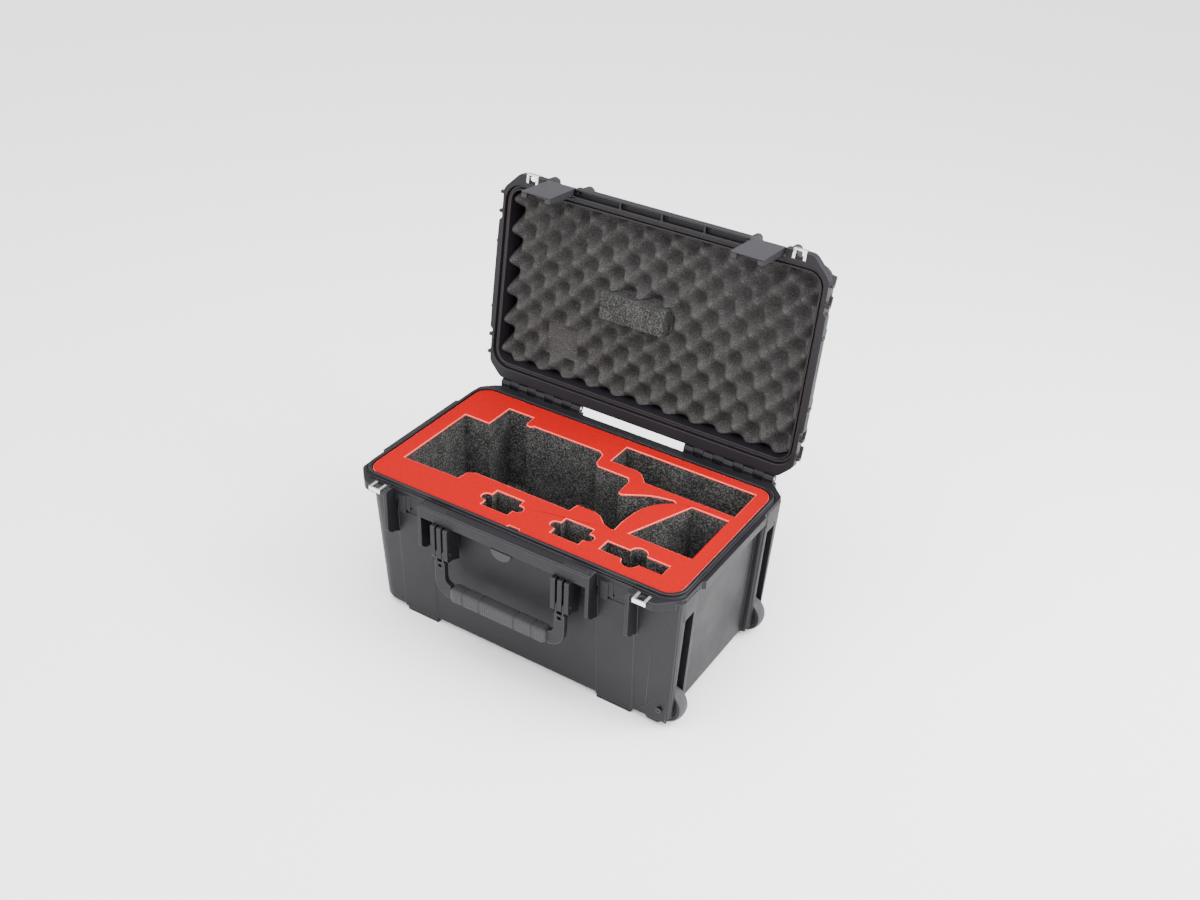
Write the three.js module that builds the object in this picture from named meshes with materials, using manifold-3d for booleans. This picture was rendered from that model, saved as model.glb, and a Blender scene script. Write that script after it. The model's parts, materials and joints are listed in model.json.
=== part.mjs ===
// Wheeled hard carrying case with a shaped foam insert, modelled open.
// Millimetres, +Z up, +X along the length towards the wheels, +Y towards the lid hinge.
// Origin: centre of the flat underside of the base shell. The feet reach below it.

import * as THREE from 'three';
import Module from 'manifold-3d';
import { mergeVertices } from 'three/addons/utils/BufferGeometryUtils.js';

const wasm = await Module();
wasm.setup();

// ---------------------------------------------------------------- driving sizes

const GAP = 0.3;                    // clearance left between pieces that touch

// foam insert and the opening of the base
const FOAM_HALF_LENGTH = 278.5;
const FOAM_HALF_WIDTH = 153.7;
const FOAM_CORNER = 24;
const CORNER_STEPS = 6;            // facets in a quarter turn of the large corners
const FOAM_TOP = 251.5;
const TOP_LAYER = 3;                // coloured layer laminated on the foam
const FOAM_PLAY = 1;                // foam to wall, all round
const FOAM_STEP_Z = FOAM_TOP - 23.5;            // the insert is narrower below this height
const FOAM_STEP = 9;                // how much narrower, each side

// base shell
const WALL = 3.5;
const FLOOR_TOP = 31;
const DRAFT = 0.043;                // every wall leans in by this much per mm of height
const RIM_Z = FOAM_TOP - 3;                // plane where base and lid meet
const RIDGE_WIDTH = 5;
const RIDGE_HEIGHT = 6;
const RIDGE_SHOULDER = 0.5;         // ridge stands this far outside the opening
const BODY_CORNER = 30;
const BOTTOM_EDGE = 8;              // rounding of the bottom edge
const FOOT_HEIGHT = 6;
const FOOT_DEPTH = 42;

// flange round base and lid
const FLANGE_HALF_LENGTH = FOAM_HALF_LENGTH + 11.5;
const FLANGE_HALF_WIDTH = FOAM_HALF_WIDTH + 26.3;
const FLANGE_BULGE = 5;             // the ends stand out by this between the corners
const BULGE_HALF_WIDTH = FOAM_HALF_WIDTH - 59.7;
const FRONT_CHAMFER = 30;            // corners by the latches
const REAR_CHAMFER = 24;             // corners by the hinge
const CHAMFER_ROUNDING = 14;
const FLANGE_PLATE = 5;
const FLANGE_SKIRT = 14;            // height of its outer edge
const SKIRT_WALL = 3;

// pilasters, ribs and latch bays
const BAY_CENTRE = FLANGE_HALF_LENGTH - 105.4;
const RIB_OFFSET = 33.2;            // rib centre to bay centre
const RIB_THICKNESS = 6;
const RIB_FRONT_Y = FLANGE_HALF_WIDTH + 3.5;
const RIB_BOTTOM_Z = RIM_Z - 82.5;
const BAY_FLOOR_Z = RIM_Z - 45.5;             // the pilaster stops here inside a latch bay
const PILASTER_PROUD = 1.2;
const HOOD_BOTTOM_Z = RIM_Z - 20;         // bottom of the hood over the handle

// lid
const LID_HEIGHT = 62;
const LID_WALL = 3.5;
const LID_LIP = 3;                  // inner lip of the seal groove
const SEAL_GROOVE_DEPTH = 10;
const SEAL_THICKNESS = 3;
const LID_FOAM_TOP = 6;             // foam stays this far inside the lid's mouth
const OPEN_ANGLE = THREE.MathUtils.degToRad(98.4);

// hinge
const HINGE_RADIUS = 6.8;
const HINGE_Y = FLANGE_HALF_WIDTH + HINGE_RADIUS + 0.8;
const HINGE_Z = RIM_Z + 6;
const HINGE_PIN_RADIUS = 2.5;
const HINGE_INNER = 100;            // the knuckles run from here...
const HINGE_OUTER = FLANGE_HALF_LENGTH - 28;            // ...to here on each side
const KNUCKLES = 9;

// latch
const LATCH_HALF_WIDTH = 27;
const LATCH_LENGTH = 72;
const LATCH_PIVOT_Y = 7.6 - FLANGE_HALF_WIDTH;
const LATCH_PIVOT_Z = RIM_Z + 5;
const LATCH_TILT = THREE.MathUtils.degToRad(3);
const LATCH_PIN_RADIUS = 2;
const LATCH_DEPTH = 12;
const LATCH_SKIN = 2.5;
const TRIGGER_PIVOT = 14;           // below the latch pivot
const TRIGGER_PIN_RADIUS = 1.8;
const HOOK_TOP = 38;                // below the latch pivot
const HOOK_HEIGHT = 6;
const HOOK_PLAY = 2.3;              // hook to catch, before the latch is pressed home
const CATCH_FRONT_Y = 19.6 - FLANGE_HALF_WIDTH;
const CATCH_HEIGHT = 19;
const CATCH_SPLIT_X = 3;             // steps of the catch, left of the bay's centre
const CATCH_STEP_X = 10;

// carrying handle on the front
const HANDLE_PIVOT_Y = -RIB_FRONT_Y - 2;
const HANDLE_PIVOT_Z = RIM_Z - 67.5;
const HANDLE_DROP = 79;             // pivot to the outer edge of the grip
const ARM_WIDTH = 19;
const ARM_THICKNESS = 10;
const HANDLE_CORNER = 30;
const GRIP_THICKNESS = 24;
const BRACKET_CENTRE = BAY_CENTRE - 75.1;
const HANDLE_HALF_WIDTH = BRACKET_CENTRE + 9.5;
const FIN_THICKNESS = 8;
const FIN_PITCH = 11.8;
const FIN_ROOM = 16;                 // the arms keep this far from the pin beside each fin
const HANDLE_PIN_RADIUS = 2.5;
const MOUNT_BOTTOM_Z = RIM_Z - 22;

// wheels
const WHEEL_X = FLANGE_HALF_LENGTH - 26;
const WHEEL_Y = FLANGE_HALF_WIDTH - 52.5;
const WHEEL_Z = 30;
const WHEEL_RADIUS = 32;
const WHEEL_WIDTH = 22;
const TYRE_THICKNESS = 6;
const AXLE_RADIUS = 3.2;
const WELL_CLEARANCE = 3;
const COLUMN_TOP_X = FLANGE_HALF_LENGTH + 2;           // corner columns that carry the wheels
const COLUMN_INNER_Y = WHEEL_Y - 24.5;

// pull handle under the base
const PULL_TUBE_Y = 62;
const OUTER_TUBE_RADIUS = 9;
const INNER_TUBE_RADIUS = 6.5;
const TUBE_WALL = 1.2;
const PULL_TUBE_Z = 14;
const TUBE_INNER_END_X = FLANGE_HALF_LENGTH - 170;
const PULL_HALF_WIDTH = 76;
const PULL_RECESS_DEPTH = 26;
const GRIP_BAR = 20;
const GRIP_TOP = 62;
const GRIP_RECESS_X = 60 - FLANGE_HALF_LENGTH;           // back wall of the recess for the grip
const GRIP_X = 16 - FLANGE_HALF_LENGTH;
const GRIP_DEPTH = 16;

// ---------------------------------------------------------------- helpers

/** Turns a closed three.js geometry into a manifold solid. */
function solid(geometry) {
  const bare = geometry.clone();
  for (const name of Object.keys(bare.attributes)) {
    if (name !== 'position') bare.deleteAttribute(name);
  }
  const merged = mergeVertices(bare, 1e-4);
  return new wasm.Manifold(new wasm.Mesh({
    numProp: 3,
    vertProperties: Float32Array.from(merged.attributes.position.array),
    triVerts: Uint32Array.from(merged.index.array),
  }));
}

/** Turns a manifold solid back into a geometry for a mesh. */
function toGeometry(body) {
  const mesh = body.getMesh();
  const geometry = new THREE.BufferGeometry();
  const positions = Float32Array.from(mesh.vertProperties);
  geometry.setAttribute('position', new THREE.BufferAttribute(positions, 3));
  geometry.setIndex(new THREE.BufferAttribute(Uint32Array.from(mesh.triVerts), 1));
  return geometry;
}

const unite = (...bodies) => bodies.flat().reduce((sum, body) => sum.add(body));
const cut = (body, ...tools) => tools.flat().reduce((rest, tool) => rest.subtract(tool), body);
const sides = [-1, 1];

function box(x0, x1, y0, y1, z0, z1) {
  const geometry = new THREE.BoxGeometry(Math.abs(x1 - x0), Math.abs(y1 - y0), Math.abs(z1 - z0));
  return solid(geometry.translate((x0 + x1) / 2, (y0 + y1) / 2, (z0 + z1) / 2));
}

/** Cylinder along an axis, from one coordinate to another. */
function rod(axis, radius, from, to, centre, segments = 24) {
  const geometry = new THREE.CylinderGeometry(radius, radius, Math.abs(to - from), segments);
  const middle = (from + to) / 2;
  if (axis === 'x') geometry.rotateZ(Math.PI / 2).translate(middle, centre[0], centre[1]);
  if (axis === 'y') geometry.translate(centre[0], middle, centre[1]);
  if (axis === 'z') geometry.rotateX(Math.PI / 2).translate(centre[0], centre[1], middle);
  return solid(geometry);
}

/** Outline in XY extruded between two heights. */
function slab(points, z0, z1) {
  const geometry = new THREE.ExtrudeGeometry(new THREE.Shape(points),
    { depth: z1 - z0, bevelEnabled: false, curveSegments: 6 });
  return solid(geometry.translate(0, 0, z0));
}

/** Outline in YZ extruded along X. */
function profileX(points, x0, x1) {
  const shape = new THREE.Shape(points.map(([y, z]) => new THREE.Vector2(y, z)));
  const geometry = new THREE.ExtrudeGeometry(shape, { depth: x1 - x0, bevelEnabled: false });
  const turn = new THREE.Matrix4().makeBasis(
    new THREE.Vector3(0, 1, 0), new THREE.Vector3(0, 0, 1), new THREE.Vector3(1, 0, 0));
  return solid(geometry.applyMatrix4(turn).translate(x0, 0, 0));
}

/** Outline in ZX extruded along Y. */
function profileY(points, y0, y1) {
  const shape = new THREE.Shape(points.map(([x, z]) => new THREE.Vector2(z, x)));
  const geometry = new THREE.ExtrudeGeometry(shape, { depth: y1 - y0, bevelEnabled: false });
  const turn = new THREE.Matrix4().makeBasis(
    new THREE.Vector3(0, 0, 1), new THREE.Vector3(1, 0, 0), new THREE.Vector3(0, 1, 0));
  return solid(geometry.applyMatrix4(turn).translate(0, y0, 0));
}

/** Rectangle with rounded corners, anticlockwise. */
function roundedRect(x0, x1, y0, y1, radius, steps = 6) {
  const corners = [[x1, y1, 0], [x0, y1, 1], [x0, y0, 2], [x1, y0, 3]];
  const points = [];
  for (const [x, y, quarter] of corners) {
    const cx = x === x1 ? x - radius : x + radius;
    const cy = y === y1 ? y - radius : y + radius;
    for (let i = 0; i <= steps; i += 1) {
      const angle = (quarter + i / steps) * Math.PI / 2;
      points.push(new THREE.Vector2(cx + radius * Math.cos(angle), cy + radius * Math.sin(angle)));
    }
  }
  return points;
}

const centredRect = (halfX, halfY, radius, steps) =>
  roundedRect(-halfX, halfX, -halfY, halfY, radius, steps);

/** Skin through outlines that have the same number of points, closed at both ends. */
function loft(sections) {
  const count = sections[0].points.length;
  const positions = [];
  const index = [];
  for (const { z, points } of sections) {
    for (const point of points) positions.push(point.x, point.y, z);
  }
  for (let level = 0; level + 1 < sections.length; level += 1) {
    for (let i = 0; i < count; i += 1) {
      const a = level * count + i;
      const b = level * count + (i + 1) % count;
      index.push(a, b, b + count, a, b + count, a + count);
    }
  }
  const caps = [[0, true], [sections.length - 1, false]];
  for (const [level, flip] of caps) {
    for (const [a, b, c] of THREE.ShapeUtils.triangulateShape(sections[level].points, [])) {
      const base = level * count;
      if (flip) index.push(base + c, base + b, base + a);
      else index.push(base + a, base + b, base + c);
    }
  }
  const geometry = new THREE.BufferGeometry();
  geometry.setAttribute('position', new THREE.Float32BufferAttribute(positions, 3));
  geometry.setIndex(index);
  return solid(geometry);
}

/** Chamfered corner of the flange with rounded ends, anticlockwise; signs name the corner. */
function chamferPoints(halfX, halfY, inset, signX, signY) {
  const size = (signY > 0 ? REAR_CHAMFER : FRONT_CHAMFER) - inset * (2 - Math.SQRT2);
  const radius = Math.max(CHAMFER_ROUNDING - inset, 2);
  const tangent = radius * Math.tan(Math.PI / 8);
  const quarter = [];
  for (const angle of [0, 22.5, 45]) {
    const turn = THREE.MathUtils.degToRad(angle);
    quarter.push([halfX - radius + radius * Math.cos(turn),
      halfY - size - tangent + radius * Math.sin(turn)]);
  }
  for (const angle of [45, 67.5, 90]) {
    const turn = THREE.MathUtils.degToRad(angle);
    quarter.push([halfX - size - tangent + radius * Math.cos(turn),
      halfY - radius + radius * Math.sin(turn)]);
  }
  const placed = quarter.map(([x, y]) => new THREE.Vector2(signX * x, signY * y));
  return signX * signY > 0 ? placed : placed.reverse();
}

/** Outline of the flange: bulged ends and rounded corners, inset by a margin. */
function flangeOutline(inset = 0) {
  const halfX = FLANGE_HALF_LENGTH - inset;
  const halfY = FLANGE_HALF_WIDTH - inset;
  const bulgeY = BULGE_HALF_WIDTH;
  const plain = [...chamferPoints(halfX, halfY, inset, 1, 1), ...chamferPoints(halfX, halfY, inset, -1, 1),
    ...chamferPoints(halfX, halfY, inset, -1, -1), ...chamferPoints(halfX, halfY, inset, 1, -1)];
  const right = [[halfX, -bulgeY - FLANGE_BULGE], [halfX + FLANGE_BULGE, -bulgeY],
    [halfX + FLANGE_BULGE, bulgeY], [halfX, bulgeY + FLANGE_BULGE]];
  const left = right.map(([x, y]) => [-x, -y]);
  const toPoints = (list) => list.map(([x, y]) => new THREE.Vector2(x, y));
  const perCorner = 6;
  return [...toPoints(right), ...plain.slice(0, 2 * perCorner), ...toPoints(left),
    ...plain.slice(2 * perCorner)];
}

const material = (color, roughness, metalness = 0) =>
  new THREE.MeshStandardMaterial({ color, roughness, metalness });

const shellPlastic = material('#46464a', 0.55);
const latchPlastic = material('#5a5a60', 0.5);
const redFoam = material('#f23226', 0.8);
const greyFoam = material('#3c3c3c', 0.95);
const crateFoam = material('#4a4747', 0.95);
const sealRubber = material('#2a2220', 0.8);
const gripRubber = material('#3f3f42', 0.85);
const wheelPlastic = material('#55555a', 0.5);
const tyreRubber = material('#4a4a4e', 0.75);
const stainless = material('#d9dadb', 0.25, 1);
const tubeMetal = material('#b8babd', 0.3, 1);

const group = new THREE.Group();

/** Adds one named piece. */
function piece(parent, name, body, finish) {
  const mesh = new THREE.Mesh(toGeometry(body), finish);
  mesh.name = name;
  parent.add(mesh);
}

// ---------------------------------------------------------------- values worked out from them

const OPENING_X = FOAM_HALF_LENGTH + FOAM_PLAY;
const OPENING_Y = FOAM_HALF_WIDTH + FOAM_PLAY;
const OPENING_CORNER = FOAM_CORNER + FOAM_PLAY;
const BODY_HALF_WIDTH = OPENING_Y + WALL;
const BODY_HALF_LENGTH = OPENING_X;
const FLANGE_UNDER = RIM_Z - FLANGE_PLATE;
const SKIRT_BOTTOM = RIM_Z - FLANGE_SKIRT;
const RIB_CENTRES = sides.flatMap((side) => sides.map((s) => side * (BAY_CENTRE + s * RIB_OFFSET)));
const BAY_INNER = BAY_CENTRE - RIB_OFFSET + RIB_THICKNESS / 2;
const BAY_OUTER = BAY_CENTRE + RIB_OFFSET - RIB_THICKNESS / 2;
const NOTCH_Y = -(OPENING_Y + RIDGE_SHOULDER + RIDGE_WIDTH + 3.3);
const LID_BASE = RIM_Z + GAP;
const LID_TOP = RIM_Z + LID_HEIGHT;
const lean = (z) => DRAFT * (FOAM_TOP - z);

/** Horizontal section of the base body at height z, moved in by an inset. */
const bodySection = (z, inset) => ({
  z,
  points: centredRect(BODY_HALF_LENGTH - lean(z) - inset, BODY_HALF_WIDTH - lean(z) - inset,
    BODY_CORNER - inset, CORNER_STEPS),
});

/** Horizontal section of the lower, narrower part of the cavity. */
const cavitySection = (z, inset) => ({
  z,
  points: centredRect(OPENING_X - FOAM_STEP - lean(z) - inset, OPENING_Y - lean(z) - inset,
    OPENING_CORNER - 4, 6),
});

// ---------------------------------------------------------------- base shell

const wheelWell = (side, grow) => {
  const halfWidth = WHEEL_WIDTH / 2 + 1.5 + grow;
  const radius = WHEEL_RADIUS + WELL_CLEARANCE + grow;
  const y = [side * WHEEL_Y - halfWidth, side * WHEEL_Y + halfWidth];
  return unite(
    rod('y', radius, y[0], y[1], [WHEEL_X, WHEEL_Z], 32),
    box(WHEEL_X, COLUMN_TOP_X + 20, y[0], y[1], -FOOT_HEIGHT, WHEEL_Z + radius),
    box(WHEEL_X - radius, WHEEL_X, y[0], y[1], -FOOT_HEIGHT, WHEEL_Z));
};

/** Walls round the wheel, inside the base. */
const wellHousing = (side, grow) => wheelWell(side, WALL + grow)
  .intersect(box(0, BODY_HALF_LENGTH - 6, -BODY_HALF_WIDTH, BODY_HALF_WIDTH, 0.5, 120));

function cornerColumn(side) {
  const outline = (z) => {
    const y = [side * COLUMN_INNER_Y, side * (BODY_HALF_WIDTH - lean(z))];
    return {
      z,
      points: roundedRect(WHEEL_X - 26, COLUMN_TOP_X - lean(z), Math.min(...y), Math.max(...y), 7, 3),
    };
  };
  const column = loft([outline(0), outline(FLANGE_UNDER + 1)]);
  const bevel = profileY([[WHEEL_X - 4, -1], [COLUMN_TOP_X + 8, -1], [COLUMN_TOP_X + 8, 32]],
    -FLANGE_HALF_WIDTH, FLANGE_HALF_WIDTH);
  return column.subtract(bevel);
}

function pilaster(centre, side) {
  const front = (z) => side * (BODY_HALF_WIDTH - lean(z) + PILASTER_PROUD);
  const half = RIB_OFFSET - 1;
  const section = (z) => ({
    z,
    points: [[centre - half, 0], [centre + half, 0], [centre + half, front(z)],
      [centre - half, front(z)]].map(([x, y]) => new THREE.Vector2(x, y)),
  });
  const order = (part) => (side < 0 ? { ...part, points: part.points.reverse() } : part);
  const top = side < 0 ? BAY_FLOOR_Z : SKIRT_BOTTOM;
  return loft([order(section(3)), order(section(top))]);
}

function knuckleRanges(lidSide) {
  const length = (HINGE_OUTER - HINGE_INNER) / KNUCKLES;
  const ranges = [];
  for (let i = lidSide ? 1 : 0; i < KNUCKLES; i += 2) {
    const from = HINGE_INNER + i * length + GAP;
    const to = HINGE_INNER + (i + 1) * length - GAP;
    ranges.push([from, to], [-to, -from]);
  }
  return ranges;
}

const hingeBore = sides.map((side) => rod('x', HINGE_PIN_RADIUS + GAP,
  side * (HINGE_INNER - 2), side * (HINGE_OUTER + 2), [HINGE_Y, HINGE_Z], 16));

/** Barrel and web of each hinge knuckle; the web is a profile in YZ. */
const knuckles = (lidSide, web) => knuckleRanges(lidSide).map(([from, to]) => unite(
  rod('x', HINGE_RADIUS, from, to, [HINGE_Y, HINGE_Z], 18), profileX(web, from, to)));

/** Stepped catch in a latch bay: the hook goes under its right part. */
function latchCatch(side) {
  const bottom = LATCH_PIVOT_Z - HOOK_TOP + HOOK_PLAY;
  const top = bottom + CATCH_HEIGHT;
  const back = -OPENING_Y - 0.5;
  const centre = side * BAY_CENTRE;
  return unite(
    box(centre - CATCH_SPLIT_X, centre + 22, CATCH_FRONT_Y, back, bottom, top),
    box(centre - CATCH_STEP_X, centre - CATCH_SPLIT_X + 1, CATCH_FRONT_Y - 1.7, back, bottom - 6, top),
    box(centre - 23, centre - CATCH_STEP_X, CATCH_FRONT_Y - 3.4, back, bottom - 13, top));
}

function rib(centre) {
  const back = 38.5 - RIB_FRONT_Y;
  const profile = [[back, RIB_BOTTOM_Z - 14], [back - 20, RIB_BOTTOM_Z - 2], [9 - RIB_FRONT_Y, RIB_BOTTOM_Z],
    [-RIB_FRONT_Y, RIB_BOTTOM_Z + 9], [-RIB_FRONT_Y, RIM_Z - 1], [back, RIM_Z - 1]];
  return profileX(profile.reverse(), centre - RIB_THICKNESS / 2, centre + RIB_THICKNESS / 2);
}

// padlock plates: a notch for the plate and a hole for the shackle
const PADLOCK_X = FLANGE_HALF_LENGTH - 53;
const PADLOCK_Y = 4 - FLANGE_HALF_WIDTH;
const PADLOCK_HALF = 11;
const PADLOCK_SLOT_HALF = 6.5;
const PADLOCK_LIP = 2.5;
const BASE_LIP_HEIGHT = 7;
const LID_LIP_HEIGHT = 7;
const PADLOCK_HOLE = 4.5;
const PADLOCK_SHEET = 2.5;

const padlockHoles = sides.map((side) =>
  rod('z', PADLOCK_HOLE + 1, RIM_Z - 48, LID_TOP + 20, [side * PADLOCK_X, PADLOCK_Y], 16));

/** Room for a padlock plate under the base flange or over the lid flange. */
const padlockSeat = (side, z0, z1) => box(side * PADLOCK_X - PADLOCK_HALF - GAP,
  side * PADLOCK_X + PADLOCK_HALF + GAP, -FLANGE_HALF_WIDTH - 6, PADLOCK_Y + 9 + GAP, z0, z1);

function baseShell() {
  const outer = loft([bodySection(0, BOTTOM_EDGE), bodySection(2.4, 2.4),
    bodySection(BOTTOM_EDGE, 0), bodySection(RIM_Z - 2, 0)]);
  const collar = slab(centredRect(OPENING_X + RIDGE_SHOULDER + RIDGE_WIDTH,
    OPENING_Y + RIDGE_SHOULDER + RIDGE_WIDTH, OPENING_CORNER + 5, CORNER_STEPS), FOAM_STEP_Z - 6, RIM_Z);
  const ridge = slab(centredRect(OPENING_X + RIDGE_SHOULDER + RIDGE_WIDTH,
    OPENING_Y + RIDGE_SHOULDER + RIDGE_WIDTH, OPENING_CORNER + 5, CORNER_STEPS), RIM_Z - 1, RIM_Z + RIDGE_HEIGHT);
  const ridgeStep = slab(centredRect(OPENING_X + RIDGE_SHOULDER, OPENING_Y + RIDGE_SHOULDER,
    OPENING_CORNER, CORNER_STEPS), RIM_Z, RIM_Z + RIDGE_HEIGHT + 1);
  const flange = slab(flangeOutline(), SKIRT_BOTTOM, RIM_Z)
    .subtract(slab(flangeOutline(SKIRT_WALL), SKIRT_BOTTOM - 1, FLANGE_UNDER));
  const shadowGroove = slab(centredRect(OPENING_X + 8.5, OPENING_Y + 8.5, OPENING_CORNER + 8, CORNER_STEPS),
    RIM_Z - 2, RIM_Z + 1).subtract(slab(centredRect(OPENING_X + 6.5, OPENING_Y + 6.5,
    OPENING_CORNER + 6, CORNER_STEPS), RIM_Z - 3, RIM_Z + 2));
  const cavity = unite(
    loft([cavitySection(FLOOR_TOP, 0), cavitySection(FOAM_STEP_Z, 0)]),
    slab(centredRect(OPENING_X, OPENING_Y, OPENING_CORNER, CORNER_STEPS), FOAM_STEP_Z - 0.01, RIM_Z + 20));
  const feet = sides.flatMap((sx) => sides.map((sy) => box(sx * (BAY_CENTRE - RIB_OFFSET + 1),
    sx * (BAY_CENTRE + RIB_OFFSET - 4), sy * (BODY_HALF_WIDTH - 12), sy * (BODY_HALF_WIDTH - 12 - FOOT_DEPTH),
    -FOOT_HEIGHT, 4)));
  const latchNotches = sides.map((side) => box(side * BAY_INNER, side * BAY_OUTER,
    -FLANGE_HALF_WIDTH - 5, NOTCH_Y, SKIRT_BOTTOM - 2, RIM_Z + 1));
  const rimBars = sides.map((side) => box(side * (BAY_CENTRE - 77.6), side * (BAY_CENTRE - 37.6),
    4.6 - FLANGE_HALF_WIDTH, 12.6 - FLANGE_HALF_WIDTH, RIM_Z - 1, RIM_Z + 2.5));
  const hoodHalf = BAY_CENTRE - RIB_OFFSET;
  const hood = cut(box(-hoodHalf, hoodHalf, -RIB_FRONT_Y, 6 - FLANGE_HALF_WIDTH, HOOD_BOTTOM_Z, RIM_Z - 1),
    box(-hoodHalf - 1, hoodHalf + 1, SKIRT_WALL - RIB_FRONT_Y, 20 - FLANGE_HALF_WIDTH, HOOD_BOTTOM_Z - 1,
      RIM_Z - FLANGE_PLATE));
  const hingeShelves = sides.map((side) => box(side * (HINGE_INNER - 2), side * (HINGE_OUTER + 2), FLANGE_HALF_WIDTH - 4,
    HINGE_Y + 4, SKIRT_BOTTOM + 1, HINGE_Z - HINGE_RADIUS - 1.2));
  const cornerSkirts = sides.map((side) => profileX([[-19.5, -1], [18.5, -1], [18.5, -39.5], [11.5, -39.5], [7.5, -31.5],
    [-19.5, -31.5]].map(([y, z]) => [side * (WHEEL_Y + y), RIM_Z + z]), FLANGE_HALF_LENGTH - 15, FLANGE_HALF_LENGTH + 1.5));
  const y = FLANGE_HALF_WIDTH;
  const hingeWeb = [[y - 6, SKIRT_BOTTOM + 1], [y + 4, SKIRT_BOTTOM + 1], [HINGE_Y + HINGE_RADIUS, HINGE_Z],
    [y + 0.8, HINGE_Z], [y + 0.8, RIM_Z - 0.5], [y - 6, RIM_Z - 0.5]];
  const columns = sides.map(cornerColumn);
  const screwPads = sides.map((side) => {
    const face = BODY_HALF_WIDTH - lean(0);
    const y = [side * (face - 4), side * (face + 2.2)];
    return profileY([[WHEEL_X - 40, 8], [WHEEL_X + 10, 8], [WHEEL_X + 12, 66]], Math.min(...y), Math.max(...y));
  });
  const pilasters = sides.flatMap((sx) => sides.map((sy) => pilaster(sx * BAY_CENTRE, sy)));
  const pullRecess = box(-BODY_HALF_LENGTH + 2, TUBE_INNER_END_X + 20, -PULL_HALF_WIDTH, PULL_HALF_WIDTH,
    -1, PULL_RECESS_DEPTH);
  const outside = -FLANGE_HALF_LENGTH - 30;
  const gripRecess = profileY([[outside, -1], [GRIP_RECESS_X, -1], [GRIP_RECESS_X, GRIP_TOP + 2],
    [GRIP_RECESS_X - 14, GRIP_TOP + 16], [outside, GRIP_TOP + 16]], -PULL_HALF_WIDTH - 14, PULL_HALF_WIDTH + 14);
  const axleHoles = sides.map((side) => rod('y', AXLE_RADIUS + GAP, side * (WHEEL_Y - 26), side * (WHEEL_Y + 40),
    [WHEEL_X, WHEEL_Z], 16));
  const slots = sides.map((side) => box(COLUMN_TOP_X - 21, COLUMN_TOP_X + 20,
    side * WHEEL_Y - WHEEL_WIDTH / 2 - 1.5, side * WHEEL_Y + WHEEL_WIDTH / 2 + 1.5, WHEEL_Z, RIM_Z - 42.5));
  const shell = unite(outer, collar, flange, ridge, columns, pilasters, screwPads, feet,
    RIB_CENTRES.map(rib), rimBars, hood,
    hingeShelves, cornerSkirts);
  const pullHousing = box(GRIP_RECESS_X, TUBE_INNER_END_X + 20 + WALL, -PULL_HALF_WIDTH - WALL,
    PULL_HALF_WIDTH + WALL, 0.5, PULL_RECESS_DEPTH + WALL);
  const gripHousing = box(-BODY_HALF_LENGTH + 14, GRIP_RECESS_X + 4, -PULL_HALF_WIDTH - 18,
    PULL_HALF_WIDTH + 18, 0.5, GRIP_TOP + 22);
  const hollow = cut(shell, cavity, ridgeStep, shadowGroove);
  const walled = unite(hollow, sides.map((side) => wellHousing(side, 0)), gripHousing, pullHousing,
    sides.map(latchCatch), knuckles(false, hingeWeb));
  return cut(walled, sides.map((side) => wheelWell(side, 0)), slots, axleHoles, latchNotches,
    pullRecess, gripRecess, hingeBore, padlockHoles,
    sides.map((side) => padlockSeat(side, RIM_Z - PADLOCK_SHEET - 1, RIM_Z + 1)));
}

piece(group, 'base_shell', baseShell(), shellPlastic);

for (const side of sides) {
  const tag = side < 0 ? 'left' : 'right';
  const plateZ = RIM_Z - PADLOCK_SHEET - 0.7;
  const edge = -FLANGE_HALF_WIDTH - 5;
  const x = [side * PADLOCK_X - PADLOCK_HALF, side * PADLOCK_X + PADLOCK_HALF];
  const sheet = box(x[0], x[1], edge, PADLOCK_Y + 9, plateZ, plateZ + PADLOCK_SHEET);
  const lip = box(x[0], x[1], edge, edge + PADLOCK_LIP, plateZ + PADLOCK_SHEET - BASE_LIP_HEIGHT,
    plateZ + PADLOCK_SHEET);
  const slot = box(side * PADLOCK_X - PADLOCK_SLOT_HALF, side * PADLOCK_X + PADLOCK_SLOT_HALF,
    edge + PADLOCK_LIP, PADLOCK_Y + 12, plateZ - 1, plateZ + 4);
  piece(group, `base_padlock_plate_${tag}`, cut(unite(sheet, lip), slot), stainless);

  piece(group, `hinge_pin_${tag}`, rod('x', HINGE_PIN_RADIUS, side * (HINGE_INNER + 1),
    side * (HINGE_OUTER - 1), [HINGE_Y, HINGE_Z], 16), stainless);
}

// ---------------------------------------------------------------- foam insert

const vectors = (list) => list.map(([x, y]) => new THREE.Vector2(x, y));

/** Points along an arc about a centre, angles in degrees. */
function arc(x, y, radius, from, to, steps = 6) {
  const points = [];
  for (let i = 0; i <= steps; i += 1) {
    const angle = THREE.MathUtils.degToRad(from + (to - from) * i / steps);
    points.push([x + radius * Math.cos(angle), y + radius * Math.sin(angle)]);
  }
  return points;
}

/** Points of a smooth curve through a few control points, its two ends included. */
const smooth = (controls, steps = 8) => new THREE.SplineCurve(vectors(controls))
  .getPoints(steps).map((point) => [point.x, point.y]);

const mainPocket = vectors([
  [-251, 65], [-251, -95], [-146, -92], [-144, -73], [-131, -65], [43, -65], [45, -46],
  ...smooth([[76, -46], [90, -51], [104, -64], [120, -69]], 6),
  [124, -68], ...smooth([[123, -45], [128, -5], [143, 24], [166, 44]], 8),
  ...smooth([[160, 48], [126, 40], [98, 24], [84, 16]], 8),
  [78, 18], [76, 52], [70, 61], [14, 61], [6, 68], [2, 93], [-8, 100], [-136, 100], [-142, 95],
  [-150, 97], [-152, 122], [-202, 122], [-202, 65]]);

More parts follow.
